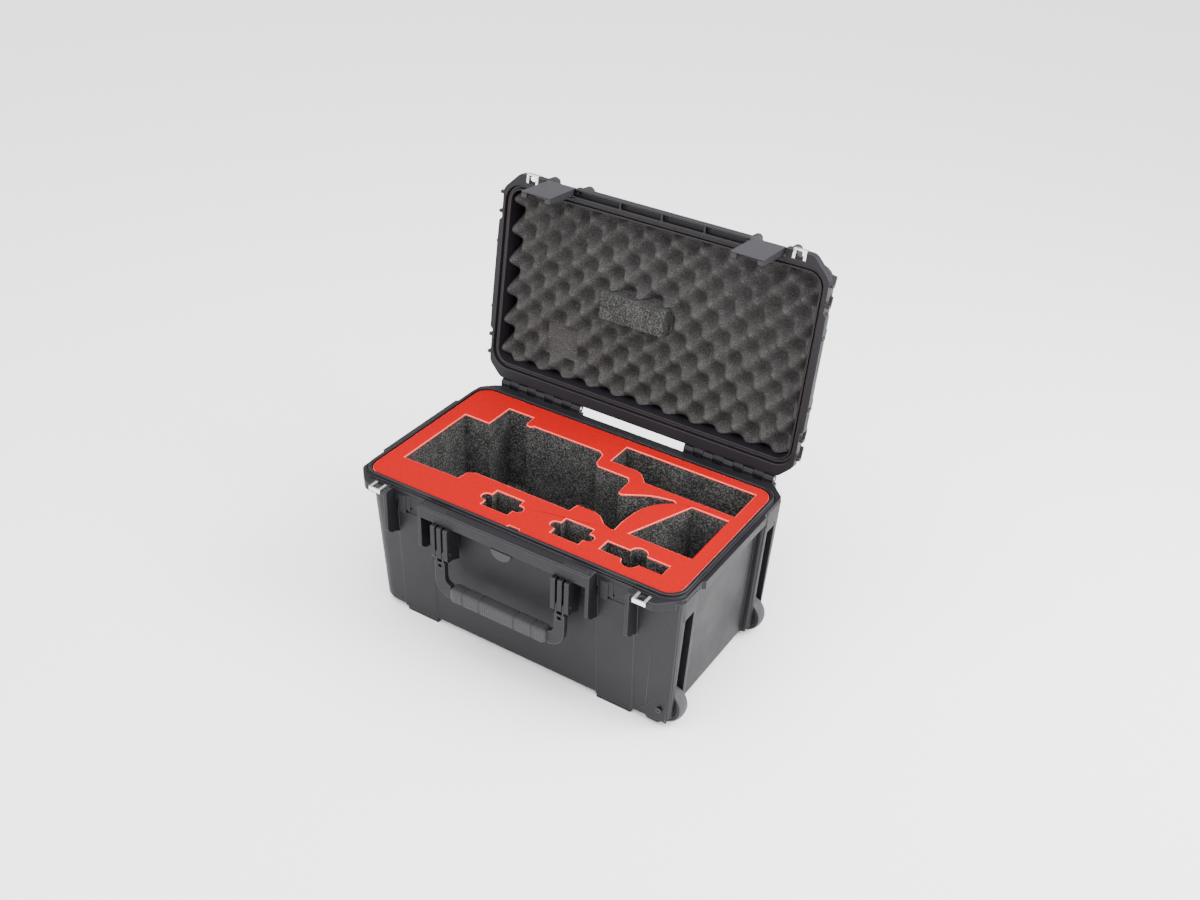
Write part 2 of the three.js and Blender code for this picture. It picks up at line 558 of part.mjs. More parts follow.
const rearPocket = vectors([
  [22, 86], ...smooth([[68, 86], [80, 83], [90, 73], [98, 64]], 5), [256, 64], [256, 135], [22, 135]]);

const endPocket = vectors([[146, -64], [254, -64], [254, 49], [191, 49]]);

/** Rectangular pocket with a round finger lobe at each end. */
const lobedPocket = (x, y) => vectors([
  [x - 25, y - 22], [x + 25, y - 22], ...arc(x + 29, y, 9, -115, 115, 8),
  [x + 25, y + 22], [x - 25, y + 22], ...arc(x - 29, y, 9, 65, 295, 8)]);

const CROSS_X = 184;
const CROSS_Y = -108.5;
const crossPocket = vectors([
  [CROSS_X - 53, CROSS_Y - 12], ...arc(CROSS_X, CROSS_Y - 11, 14, 184, 356, 8),
  [CROSS_X + 53, CROSS_Y - 12], [CROSS_X + 53, CROSS_Y + 12],
  ...arc(CROSS_X, CROSS_Y + 11, 14, 4, 176, 8), [CROSS_X - 53, CROSS_Y + 12]]);

const fingerNotch = vectors([[-13, -155.7], [12, -155.7], [9, -147.7], [-9, -147.7]]);

const POCKETS = [
  { outline: mainPocket, depth: 150 },
  { outline: rearPocket, depth: 110 },
  { outline: endPocket, depth: 120 },
  { outline: lobedPocket(-51.5, -106.5), depth: 70 },
  { outline: lobedPocket(75, -106.5), depth: 70 },
  { outline: crossPocket, depth: 60 },
  { outline: fingerNotch, depth: 25 },
];

// the pocket outlines are drawn on a sheet of this size and stretched to the foam's own
const DRAWN_HALF_LENGTH = 278.5;
const DRAWN_HALF_WIDTH = 153.7;
const stretched = (outline) => outline.map((point) => new THREE.Vector2(
  point.x * (FOAM_HALF_LENGTH / DRAWN_HALF_LENGTH), point.y * (FOAM_HALF_WIDTH / DRAWN_HALF_WIDTH)));
const pocketCuts = POCKETS.map(({ outline, depth }) =>
  slab(stretched(outline), FOAM_TOP - depth, FOAM_TOP + 5));
const foamOutline = centredRect(FOAM_HALF_LENGTH, FOAM_HALF_WIDTH, FOAM_CORNER, CORNER_STEPS);
const LAYER_BOTTOM = FOAM_TOP - TOP_LAYER;

function foamBlock() {
  const upper = slab(foamOutline, FOAM_STEP_Z + FOAM_PLAY, LAYER_BOTTOM - GAP);
  const lower = loft([cavitySection(FLOOR_TOP + FOAM_PLAY, FOAM_PLAY),
    cavitySection(FOAM_STEP_Z + FOAM_PLAY, FOAM_PLAY)]);
  const rooms = [...sides.map((side) => wellHousing(side, FOAM_PLAY)),
    box(-FOAM_HALF_LENGTH, GRIP_RECESS_X + 5, -PULL_HALF_WIDTH - 19, PULL_HALF_WIDTH + 19, 0,
      GRIP_TOP + 23)];
  return cut(unite(upper, lower), pocketCuts, rooms);
}

piece(group, 'foam_insert', foamBlock(), greyFoam);
piece(group, 'foam_top_layer', cut(slab(foamOutline, LAYER_BOTTOM, FOAM_TOP), pocketCuts), redFoam);

// ---------------------------------------------------------------- carrying handle

const wallY = (z) => -(BODY_HALF_WIDTH - lean(z));
const MOUNT_BACK_Y = -(OPENING_Y + RIDGE_SHOULDER + RIDGE_WIDTH + GAP);

function handleMount() {
  const railHalf = BAY_CENTRE - RIB_OFFSET - RIB_THICKNESS / 2 - 1;
  const railFront = -RIB_FRONT_Y + SKIRT_WALL + GAP;
  const rail = box(-railHalf, railHalf, railFront, MOUNT_BACK_Y, MOUNT_BOTTOM_Z, SKIRT_BOTTOM - 1);
  const front = HANDLE_PIVOT_Y - ARM_THICKNESS / 2;
  const low = HANDLE_PIVOT_Z - FIN_ROOM + 1;
  const fin = (x) => profileX([[MOUNT_BACK_Y, MOUNT_BOTTOM_Z + 3], [MOUNT_BACK_Y, low - 6],
    [HANDLE_PIVOT_Y + 15.5, low - 2], [HANDLE_PIVOT_Y + 7.5, low + 1.6], [HANDLE_PIVOT_Y - 0.5, low + 1],
    [front, low + 6], [front, HOOD_BOTTOM_Z - 1.5], [front + 1, HOOD_BOTTOM_Z - 0.5],
    [railFront, HOOD_BOTTOM_Z - 0.5], [railFront, MOUNT_BOTTOM_Z + 3]], x - FIN_THICKNESS / 2, x + FIN_THICKNESS / 2);
  const fins = sides.flatMap((side) => [-1, 0, 1].map((i) => fin(side * BRACKET_CENTRE + i * FIN_PITCH)));
  const backs = sides.map((side) => box(side * BRACKET_CENTRE - FIN_PITCH - 4,
    side * BRACKET_CENTRE + FIN_PITCH + 4, HANDLE_PIVOT_Y + 14, MOUNT_BACK_Y, low + 12, MOUNT_BOTTOM_Z + 1));
  const pinHoles = sides.map((side) => rod('x', HANDLE_PIN_RADIUS + GAP, side * (BRACKET_CENTRE - 29), side * (BRACKET_CENTRE + 30),
    [HANDLE_PIVOT_Y, HANDLE_PIVOT_Z], 16));
  return cut(unite(rail, fins, backs), pinHoles);
}

piece(group, 'handle_mount', handleMount(), shellPlastic);

const BADGE_RADIUS = 19;
const badge = rod('y', BADGE_RADIUS, -RIB_FRONT_Y + 0.5, -RIB_FRONT_Y + 8, [0, HOOD_BOTTOM_Z], 32)
  .intersect(box(-30, 30, -RIB_FRONT_Y, 20 - RIB_FRONT_Y, HOOD_BOTTOM_Z - 30, MOUNT_BOTTOM_Z - GAP));
piece(group, 'handle_badge', badge, latchPlastic);

function handleBail() {
  const path = [];
  const halfX = HANDLE_HALF_WIDTH - ARM_WIDTH / 2;
  const bottom = HANDLE_PIVOT_Z - HANDLE_DROP + GRIP_THICKNESS / 2;
  const armTop = HANDLE_PIVOT_Z - 11;
  const outline = (inset) => [[-halfX - ARM_WIDTH / 2 + inset, armTop],
    ...arc(-halfX - ARM_WIDTH / 2 + inset + HANDLE_CORNER, bottom - GRIP_THICKNESS / 2 + inset
      + HANDLE_CORNER, HANDLE_CORNER, 180, 270, 6),
    ...arc(halfX + ARM_WIDTH / 2 - inset - HANDLE_CORNER, bottom - GRIP_THICKNESS / 2 + inset
      + HANDLE_CORNER, HANDLE_CORNER, 270, 360, 6), [halfX + ARM_WIDTH / 2 - inset, armTop]];
  path.push(...outline(0));
  const inner = [[halfX - ARM_WIDTH / 2, armTop], ...arc(halfX - ARM_WIDTH / 2 - 12,
    bottom + GRIP_THICKNESS / 2 + 12, 12, 0, -90, 4), ...arc(-halfX + ARM_WIDTH / 2 + 12,
    bottom + GRIP_THICKNESS / 2 + 12, 12, 270, 180, 4), [-halfX + ARM_WIDTH / 2, armTop]];
  const frame = profileY([...path, ...inner], HANDLE_PIVOT_Y - ARM_THICKNESS / 2,
    HANDLE_PIVOT_Y + ARM_THICKNESS / 2);
  const prongs = sides.flatMap((side) => sides.map((s) => {
    const x = side * BRACKET_CENTRE + s * FIN_PITCH / 2;
    const half = (FIN_PITCH - FIN_THICKNESS) / 2 - 0.4;
    return unite(rod('x', ARM_THICKNESS / 2, x - half, x + half, [HANDLE_PIVOT_Y, HANDLE_PIVOT_Z]),
      box(x - half, x + half, HANDLE_PIVOT_Y - ARM_THICKNESS / 2, HANDLE_PIVOT_Y + ARM_THICKNESS / 2,
        armTop - 8, HANDLE_PIVOT_Z));
  }));
  const finRoom = sides.flatMap((side) => [-1, 0, 1].map((i) => {
    const x = side * BRACKET_CENTRE + i * FIN_PITCH;
    return rod('x', FIN_ROOM, x - FIN_THICKNESS / 2 - 0.4, x + FIN_THICKNESS / 2 + 0.4,
      [HANDLE_PIVOT_Y, HANDLE_PIVOT_Z], 32);
  }));
  const holes = sides.map((side) => rod('x', HANDLE_PIN_RADIUS + GAP, side * (BRACKET_CENTRE - 29), side * (BRACKET_CENTRE + 30),
    [HANDLE_PIVOT_Y, HANDLE_PIVOT_Z], 16));
  const windows = sides.map((side) => box(side * BRACKET_CENTRE - 3.2, side * BRACKET_CENTRE + 3.2,
    HANDLE_PIVOT_Y - ARM_THICKNESS, HANDLE_PIVOT_Y + ARM_THICKNESS, armTop - 15, armTop - 9));
  return cut(unite(frame, prongs), finRoom, holes, windows);
}

const GRIP_HALF_LENGTH = HANDLE_HALF_WIDTH - HANDLE_CORNER;
const gripZ = HANDLE_PIVOT_Z - HANDLE_DROP + GRIP_THICKNESS / 2;
const gripSolid = profileX(roundedRect(HANDLE_PIVOT_Y - 11, HANDLE_PIVOT_Y + 11,
  gripZ - GRIP_THICKNESS / 2 - 1, gripZ + GRIP_THICKNESS / 2 + 1, 7, 3).map((p) => [p.x, p.y]),
-GRIP_HALF_LENGTH, GRIP_HALF_LENGTH);
const gripCore = roundedRect(HANDLE_PIVOT_Y - ARM_THICKNESS / 2, HANDLE_PIVOT_Y + ARM_THICKNESS / 2,
  gripZ - GRIP_THICKNESS / 2 + 5, gripZ + GRIP_THICKNESS / 2 - 5, 2, 1).map((p) => [p.x, p.y]);
const bailWaist = cut(box(-GRIP_HALF_LENGTH - 0.3, GRIP_HALF_LENGTH + 0.3, HANDLE_PIVOT_Y - 20,
  HANDLE_PIVOT_Y + 20, gripZ - 20, gripZ + 20), profileX(gripCore, -HANDLE_HALF_WIDTH, HANDLE_HALF_WIDTH));
const gripBore = profileX(roundedRect(HANDLE_PIVOT_Y - ARM_THICKNESS / 2 - GAP,
  HANDLE_PIVOT_Y + ARM_THICKNESS / 2 + GAP, gripZ - GRIP_THICKNESS / 2 + 5 - GAP,
  gripZ + GRIP_THICKNESS / 2 - 5 + GAP, 2, 1).map((p) => [p.x, p.y]), -HANDLE_HALF_WIDTH,
  HANDLE_HALF_WIDTH);

piece(group, 'handle_bail', cut(handleBail(), bailWaist), shellPlastic);
piece(group, 'handle_grip', cut(gripSolid, gripBore), gripRubber);
for (const side of sides) {
  piece(group, `handle_pin_${side < 0 ? 'left' : 'right'}`, rod('x', HANDLE_PIN_RADIUS,
    side * BRACKET_CENTRE - FIN_PITCH - 2, side * BRACKET_CENTRE + FIN_PITCH + 2,
    [HANDLE_PIVOT_Y, HANDLE_PIVOT_Z], 16), stainless);
}

// ---------------------------------------------------------------- wheels

for (const side of sides) {
  const tag = side < 0 ? 'front' : 'rear';
  const face = side * (BODY_HALF_WIDTH - lean(WHEEL_Z) + 2.2);
  const y = [side * WHEEL_Y - WHEEL_WIDTH / 2, side * WHEEL_Y + WHEEL_WIDTH / 2];
  const centre = [WHEEL_X, WHEEL_Z];
  const hubRadius = WHEEL_RADIUS - TYRE_THICKNESS;
  const hub = unite(rod('y', hubRadius, y[0] + 1, y[1] - 1, centre, 36));
  const hubGroove = cut(rod('y', hubRadius - 3, y[0], y[0] + 4, centre, 30),
    rod('y', AXLE_RADIUS + 5, y[0] - 1, y[0] + 5, centre, 20));
  const farGroove = cut(rod('y', hubRadius - 3, y[1] - 4, y[1], centre, 30),
    rod('y', AXLE_RADIUS + 5, y[1] - 5, y[1] + 1, centre, 20));
  const bore = rod('y', AXLE_RADIUS + GAP, y[0] - 1, y[1] + 1, centre, 16);
  piece(group, `wheel_hub_${tag}`, cut(hub, hubGroove, farGroove, bore), wheelPlastic);
  const crown = new THREE.LatheGeometry(vectors([
    [hubRadius + GAP, -WHEEL_WIDTH / 2 + 1], [WHEEL_RADIUS - 2.5, -WHEEL_WIDTH / 2],
    [WHEEL_RADIUS - 0.6, -WHEEL_WIDTH / 2 + 3], [WHEEL_RADIUS, 0],
    [WHEEL_RADIUS - 0.6, WHEEL_WIDTH / 2 - 3], [WHEEL_RADIUS - 2.5, WHEEL_WIDTH / 2],
    [hubRadius + GAP, WHEEL_WIDTH / 2 - 1], [hubRadius + GAP, -WHEEL_WIDTH / 2 + 1]]), 40);
  piece(group, `wheel_tyre_${tag}`, solid(crown.translate(WHEEL_X, side * WHEEL_Y, WHEEL_Z)), tyreRubber);
  const axle = unite(rod('y', AXLE_RADIUS, side * (WHEEL_Y - 14), face + side * 1.5, centre, 16),
    rod('y', AXLE_RADIUS + 1.6, face + side * 0.4, face + side * 2.2, centre, 20));
  const socket = rod('y', 2.4, face + side * 1, face + side * 5, centre, 6);
  piece(group, `axle_screw_${tag}`, cut(axle, socket), stainless);
}

// ---------------------------------------------------------------- pull handle

const COVER_THICKNESS = 3;
const COVER_X = GRIP_RECESS_X + 6;
const cover = box(COVER_X, TUBE_INNER_END_X + 20 - GAP, -PULL_HALF_WIDTH + GAP, PULL_HALF_WIDTH - GAP,
  0, COVER_THICKNESS);
const COVER_SCREWS = sides.flatMap((side) => [100 - FLANGE_HALF_LENGTH,
  FLANGE_HALF_LENGTH - 200].map((x) => [x, side * 30]));
const screwRod = (x, y, radius, z0, z1) => rod('z', radius, z0, z1, [x, y], 12);
const holders = [COVER_X + 10, -60, FLANGE_HALF_LENGTH - 190].map((x) => cut(
  box(x - 8, x + 8, -PULL_HALF_WIDTH + 2, PULL_HALF_WIDTH - 2, COVER_THICKNESS - 0.5, PULL_RECESS_DEPTH - 1),
  sides.map((side) => rod('x', OUTER_TUBE_RADIUS + GAP, x - 9, x + 9,
    [side * PULL_TUBE_Y, PULL_TUBE_Z], 16)),
  box(x - 9, x + 9, -PULL_TUBE_Y + 14, PULL_TUBE_Y - 14, COVER_THICKNESS + 1, PULL_RECESS_DEPTH)));
piece(group, 'pull_handle_cover', cut(unite(cover, holders),
  COVER_SCREWS.flatMap(([x, y]) => [screwRod(x, y, 2 + GAP, -1, 8),
    screwRod(x, y, 4 + GAP, -1, 1.8)])), shellPlastic);
COVER_SCREWS.forEach(([x, y], i) => {
  const screw = unite(screwRod(x, y, 2, 0.5, 14), screwRod(x, y, 4, 0.2, 1.5));
  piece(group, `cover_screw_${i + 1}`, screw, stainless);
});

const pullParts = [];
for (const side of sides) {
  const tag = side < 0 ? 'front' : 'rear';
  const centre = [side * PULL_TUBE_Y, PULL_TUBE_Z];
  const outerTube = cut(rod('x', OUTER_TUBE_RADIUS, GRIP_RECESS_X + 2, TUBE_INNER_END_X, centre, 16),
    rod('x', OUTER_TUBE_RADIUS - TUBE_WALL, GRIP_RECESS_X, TUBE_INNER_END_X + 5, centre, 16));
  piece(group, `pull_outer_tube_${tag}`, outerTube, tubeMetal);
  const innerTube = rod('x', INNER_TUBE_RADIUS, GRIP_X + 8, TUBE_INNER_END_X - 10, centre, 16);
  piece(group, `pull_inner_tube_${tag}`, innerTube, tubeMetal);
  pullParts.push(rod('x', INNER_TUBE_RADIUS + GAP, GRIP_X + 8 - GAP, GRIP_X + 74, centre, 16));
}
const gripOutline = roundedRect(-PULL_TUBE_Y - 12, PULL_TUBE_Y + 12, 4, GRIP_TOP, 12, 4);
const gripWindow = roundedRect(-PULL_TUBE_Y + 4, PULL_TUBE_Y - 4, 24, GRIP_TOP - GRIP_BAR, 8, 4);
const toYz = (points) => points.map((p) => [p.x, p.y]);
const BUTTON_HALF = 16;
const buttonRoom = box(GRIP_X - 5, GRIP_X + 12, -BUTTON_HALF - GAP, BUTTON_HALF + GAP, 46 - GAP, 58 + GAP);
piece(group, 'pull_grip', cut(profileX(toYz(gripOutline), GRIP_X, GRIP_X + GRIP_DEPTH),
  profileX(toYz(gripWindow), GRIP_X - 16, GRIP_X + 34), pullParts, buttonRoom), shellPlastic);
piece(group, 'pull_release_button', unite(box(GRIP_X + 2, GRIP_X + 7, -BUTTON_HALF,
  BUTTON_HALF, 46, 58), box(GRIP_X - 2.5, GRIP_X + 3, -BUTTON_HALF + 2, BUTTON_HALF - 2, 48, 56)), latchPlastic);

// ---------------------------------------------------------------- lid, drawn closed in a turned group

const lidPivot = new THREE.Group();
lidPivot.position.set(0, HINGE_Y, HINGE_Z);
lidPivot.rotation.x = -OPEN_ANGLE;
group.add(lidPivot);
const lid = new THREE.Group();
lid.position.set(0, -HINGE_Y, -HINGE_Z);
lidPivot.add(lid);

const LID_HALF_LENGTH = OPENING_X + 3.5;
const LID_HALF_WIDTH = OPENING_Y + 3.5;
const LID_INNER_X = OPENING_X - LID_LIP;
const LID_INNER_Y = OPENING_Y - LID_LIP;
const lidSection = (z, inset) => ({
  z,
  points: centredRect(LID_HALF_LENGTH - DRAFT * (z - RIM_Z) - inset,
    LID_HALF_WIDTH - DRAFT * (z - RIM_Z) - inset, BODY_CORNER - Math.min(inset, 8), CORNER_STEPS),
});

/** Room inside the lid, narrowing near the top, moved in by an inset. */
function lidRoom(inset, z0, z1) {
  const section = (z, more) => ({
    z,
    points: centredRect(LID_INNER_X - inset - more, LID_INNER_Y - inset - more, OPENING_CORNER - 4, CORNER_STEPS),
  });
  return loft([section(z0, 0), section(LID_TOP - 14, 0), section(z1, 9)]);
}

function lidFin(centre) {
  const tip = 3 - FLANGE_HALF_WIDTH;
  const profile = [[tip + 27, RIM_Z + 2], [tip, RIM_Z + 2], [tip, LID_TOP - 20], [tip + 6, LID_TOP - 11],
    [tip + 27, LID_TOP - 4]];
  return profileX(profile.reverse(), centre - RIB_THICKNESS / 2, centre + RIB_THICKNESS / 2);
}

function lidShell() {
  const outer = loft([lidSection(RIM_Z + 3, 0), lidSection(LID_TOP - 12, 0), lidSection(LID_TOP - 4, 3),
    lidSection(LID_TOP, 11)]);
  const band = slab(centredRect(OPENING_X + RIDGE_SHOULDER + RIDGE_WIDTH + 3, OPENING_Y + RIDGE_SHOULDER
    + RIDGE_WIDTH + 3, OPENING_CORNER + 8, CORNER_STEPS), LID_BASE, RIM_Z + FLANGE_SKIRT);
  const flange = slab(flangeOutline(), LID_BASE, RIM_Z + FLANGE_SKIRT)
    .subtract(slab(flangeOutline(SKIRT_WALL), RIM_Z + FLANGE_PLATE, RIM_Z + FLANGE_SKIRT + 1));
  const hollow = lidRoom(0, RIM_Z - 5, LID_TOP - LID_WALL);
  const mouth = slab(centredRect(OPENING_X, OPENING_Y, OPENING_CORNER, CORNER_STEPS), RIM_Z - 5, RIM_Z + 3.8);
  const groove = slab(centredRect(OPENING_X + RIDGE_SHOULDER + RIDGE_WIDTH + 0.7,
    OPENING_Y + RIDGE_SHOULDER + RIDGE_WIDTH + 0.7, OPENING_CORNER + 6, CORNER_STEPS), RIM_Z - 5,
  RIM_Z + SEAL_GROOVE_DEPTH).subtract(slab(centredRect(OPENING_X, OPENING_Y, OPENING_CORNER, CORNER_STEPS),
    RIM_Z - 6, RIM_Z + SEAL_GROOVE_DEPTH + 1));
  const notches = sides.map((side) => box(side * BAY_INNER, side * BAY_OUTER, -FLANGE_HALF_WIDTH - 5,
    NOTCH_Y, RIM_Z - 1, LID_TOP + 5));
  const channel = [[0.4 - BAY_INNER, -72], [-69, 3], [6, 78], [81, BAY_INNER - 0.4]].map(([x0, x1]) =>
    box(x0, x1, 3 - FLANGE_HALF_WIDTH, 13.5 - FLANGE_HALF_WIDTH, RIM_Z - 1, RIM_Z + 9));
  const beam = box(-BAY_INNER + 1, BAY_INNER - 1, -FLANGE_HALF_WIDTH, 18 - FLANGE_HALF_WIDTH, LID_BASE, RIM_Z + FLANGE_SKIRT);
  const y = FLANGE_HALF_WIDTH;
  const web = [[y - 6, RIM_Z + 1], [y + 0.8, RIM_Z + 1], [HINGE_Y - 2, HINGE_Z - 6.4],
    [HINGE_Y + HINGE_RADIUS, HINGE_Z], [HINGE_Y, HINGE_Z + HINGE_RADIUS], [y - 6, RIM_Z + FLANGE_SKIRT - 1]];
  const sideRibs = sides.flatMap((sx) => [[y - 39, 2.5], [y - 71, 2.5], [y - 122.3, 2.5]].flatMap(([at, half]) =>
    sides.map((sy) => profileY([[-20, 1], [7, 1], [7, 9], [-6, LID_HEIGHT - 14], [-20, LID_HEIGHT - 10]]
      .map(([out, up]) => [sx * (FLANGE_HALF_LENGTH + out), RIM_Z + up]), sy * at - half, sy * at + half))));
  const topRibs = RIB_CENTRES.map((x) => box(x - RIB_THICKNESS / 2, x + RIB_THICKNESS / 2,
    -LID_HALF_WIDTH + 12, LID_HALF_WIDTH - 12, LID_TOP - 2, LID_TOP + 3));
  const panel = slab(centredRect(FLANGE_HALF_LENGTH - 160, FLANGE_HALF_WIDTH - 75, 14, 5), LID_TOP - 2, LID_TOP + 5);
  const pinHoles = sides.map((side) => rod('x', LATCH_PIN_RADIUS + GAP, side * (BAY_CENTRE - 44), side * (BAY_CENTRE + 45),
    [LATCH_PIVOT_Y, LATCH_PIVOT_Z], 16));
  const shell = unite(outer, band, flange, beam, RIB_CENTRES.map(lidFin), sideRibs, topRibs,
    knuckles(true, web));
  return cut(shell, hollow, mouth, groove, notches, channel, panel, pinHoles, hingeBore, padlockHoles,
    sides.map((side) => padlockSeat(side, RIM_Z - 1, LID_BASE + PADLOCK_SHEET + 2 * GAP)));
}

piece(lid, 'lid_shell', lidShell(), shellPlastic);

const ridgeMiddle = RIDGE_SHOULDER + RIDGE_WIDTH / 2;
const sealRing = (half, z0, z1) => slab(centredRect(OPENING_X + ridgeMiddle + half,
  OPENING_Y + ridgeMiddle + half, OPENING_CORNER + ridgeMiddle + half, CORNER_STEPS), z0, z1);
const sealTop = RIM_Z + SEAL_GROOVE_DEPTH - GAP;
piece(lid, 'lid_seal', cut(sealRing(2.4, sealTop - SEAL_THICKNESS, sealTop), sealRing(-2.4,
  sealTop - SEAL_THICKNESS - 1, sealTop + 1)), sealRubber);

const PAD = { x: -28, y: -4, halfX: 60, halfY: 23, depth: 22 };
const LID_POCKET = { x: 111.5 - FOAM_HALF_LENGTH, y: FOAM_HALF_WIDTH - 62.7, halfX: 30, halfY: 27, depth: 26 };
const foamFace = RIM_Z + LID_FOAM_TOP;
const rectBox = ({ x, y, halfX, halfY }, grow, z0, z1) =>
  box(x - halfX - grow, x + halfX + grow, y - halfY - grow, y + halfY + grow, z0, z1);
const lidFoam = lidRoom(FOAM_PLAY, foamFace, LID_TOP - LID_WALL - GAP);
piece(lid, 'lid_foam', cut(lidFoam, rectBox(PAD, GAP, RIM_Z, foamFace + PAD.depth + GAP),
  rectBox(LID_POCKET, 0, RIM_Z, foamFace + LID_POCKET.depth)), crateFoam);
piece(lid, 'lid_foam_pad', rectBox(PAD, 0, RIM_Z + 4, foamFace + PAD.depth), greyFoam);

for (const side of sides) {
  const tag = side < 0 ? 'left' : 'right';
  const plateZ = LID_BASE + GAP;
  const edge = -FLANGE_HALF_WIDTH - GAP;
  const x = [side * PADLOCK_X - PADLOCK_HALF, side * PADLOCK_X + PADLOCK_HALF];
  const sheet = box(x[0], x[1], edge - PADLOCK_LIP, PADLOCK_Y + 9, plateZ, plateZ + PADLOCK_SHEET);
  const lip = box(x[0], x[1], edge - PADLOCK_LIP, edge, plateZ, plateZ + LID_LIP_HEIGHT);
  const slot = box(side * PADLOCK_X - PADLOCK_SLOT_HALF, side * PADLOCK_X + PADLOCK_SLOT_HALF, edge,
    PADLOCK_Y + 12, plateZ - 1, plateZ + 4);
  piece(lid, `lid_padlock_plate_${tag}`, cut(unite(sheet, lip), slot), stainless);
  const pinHalf = RIB_OFFSET + RIB_THICKNESS / 2 - 0.5;
  piece(lid, `latch_pin_${tag}`, rod('x', LATCH_PIN_RADIUS, side * BAY_CENTRE - pinHalf,
    side * BAY_CENTRE + pinHalf, [LATCH_PIVOT_Y, LATCH_PIVOT_Z], 16), stainless);

  // the latch is drawn about its own pivot, hanging straight down, then tilted
  const latch = new THREE.Group();
  latch.position.set(side * BAY_CENTRE, LATCH_PIVOT_Y, LATCH_PIVOT_Z);
  latch.rotation.x = LATCH_TILT;
  lid.add(latch);
  const front = -LATCH_DEPTH / 2;
  const half = LATCH_HALF_WIDTH;
  const skin = profileX([[front + 1, 5], [front, 3], [front, -LATCH_LENGTH + 2],
    [front + 1.2, -LATCH_LENGTH], [front + LATCH_SKIN, -LATCH_LENGTH], [front + LATCH_SKIN, 5]],
  -half, half);
  const cheeks = sides.map((s) => profileX([[front + 1, 5], [front + 1, -LATCH_LENGTH + 1],
    [3.8, -LATCH_LENGTH + 1], [4.8, -LATCH_LENGTH + 8], [6, -30], [6, 0], [4, 5]],
  Math.min(s * half, s * (half - 3)), Math.max(s * half, s * (half - 3))));
  const endBlocks = sides.map((s) => box(s * half, s * (half - 10), front + 1, 3.8, -LATCH_LENGTH + 0.6,
    -LATCH_LENGTH + 6));
  const barrel = rod('x', 4.8, -half, half, [0, 0], 20);
  const latchBore = rod('x', LATCH_PIN_RADIUS + GAP, -half - 1, half + 1, [0, 0], 16);
  const triggerBore = rod('x', TRIGGER_PIN_RADIUS + GAP, -half - 1, half + 1, [2.75, -TRIGGER_PIVOT], 12);
  piece(latch, `latch_${tag}`, cut(unite(skin, cheeks, endBlocks, barrel), latchBore, triggerBore),
    latchPlastic);
  const leverTop = box(-half + 7, half - 7, 1.5, 4, -TRIGGER_PIVOT - 8, -TRIGGER_PIVOT + 3);
  const hook = profileX([[4, -TRIGGER_PIVOT - 6], [1.5, -TRIGGER_PIVOT - 6], [1.5, -HOOK_TOP - HOOK_HEIGHT - 2],
    [4, -HOOK_TOP - HOOK_HEIGHT - 2], [7.5, -HOOK_TOP - HOOK_HEIGHT + 1], [9, -HOOK_TOP - 3],
    [9, -HOOK_TOP], [4, -HOOK_TOP]], -1, half - 7);
  const thumbTab = profileX([[3.5, -TRIGGER_PIVOT - 6], [1.5, -TRIGGER_PIVOT - 6], [1.5, -LATCH_LENGTH + 19],
    [0.4, -LATCH_LENGTH + 17], [0.4, -LATCH_LENGTH + 13], [3.5, -LATCH_LENGTH + 14]], -9, 13);
  const leverPin = rod('x', TRIGGER_PIN_RADIUS, -half + 0.5, half - 0.5, [2.75, -TRIGGER_PIVOT], 12);
  piece(latch, `latch_trigger_${tag}`, unite(leverTop, hook, thumbTab, leverPin), latchPlastic);
}

export default group;
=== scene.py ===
"""A wheeled hard carrying case, open, with a cut-out foam insert, dressed over its CAD frame.

Every piece lies in the frame of the CAD model, in metres, +Z up, +X towards the wheels and +Y
towards the lid hinge. The lid's own pieces are worked out as if the lid were shut and are then
turned about its hinge.
"""

import json
import logging
import math
from dataclasses import dataclass
from enum import Enum
from typing import Optional, Sequence

import bmesh
import bpy
import numpy as np
from mathutils import Matrix, Vector

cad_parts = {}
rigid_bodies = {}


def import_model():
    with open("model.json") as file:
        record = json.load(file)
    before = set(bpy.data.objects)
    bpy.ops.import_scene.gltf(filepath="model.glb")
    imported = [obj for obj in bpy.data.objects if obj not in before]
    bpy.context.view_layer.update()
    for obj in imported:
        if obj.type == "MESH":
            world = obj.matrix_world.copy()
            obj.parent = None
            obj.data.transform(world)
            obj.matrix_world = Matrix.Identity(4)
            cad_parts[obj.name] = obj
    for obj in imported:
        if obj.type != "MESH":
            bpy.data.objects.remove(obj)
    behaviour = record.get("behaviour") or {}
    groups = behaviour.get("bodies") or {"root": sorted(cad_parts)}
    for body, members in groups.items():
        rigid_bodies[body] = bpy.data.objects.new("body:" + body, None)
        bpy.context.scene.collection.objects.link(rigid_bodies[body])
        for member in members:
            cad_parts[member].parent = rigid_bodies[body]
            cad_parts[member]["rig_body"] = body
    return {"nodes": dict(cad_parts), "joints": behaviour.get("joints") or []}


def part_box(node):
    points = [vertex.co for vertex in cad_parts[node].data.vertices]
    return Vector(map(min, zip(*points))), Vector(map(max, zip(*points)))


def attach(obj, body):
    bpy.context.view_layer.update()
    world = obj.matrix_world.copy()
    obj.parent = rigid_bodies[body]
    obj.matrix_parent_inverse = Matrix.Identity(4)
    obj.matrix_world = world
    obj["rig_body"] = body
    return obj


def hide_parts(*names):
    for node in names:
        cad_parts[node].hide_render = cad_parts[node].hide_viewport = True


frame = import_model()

LOG = logging.getLogger("case")
MM = 0.001
EDGE_ANGLE = math.radians(28)
MERGE_DISTANCE = 0.01 * MM


# ------------------------------------------------------------------ shader helpers

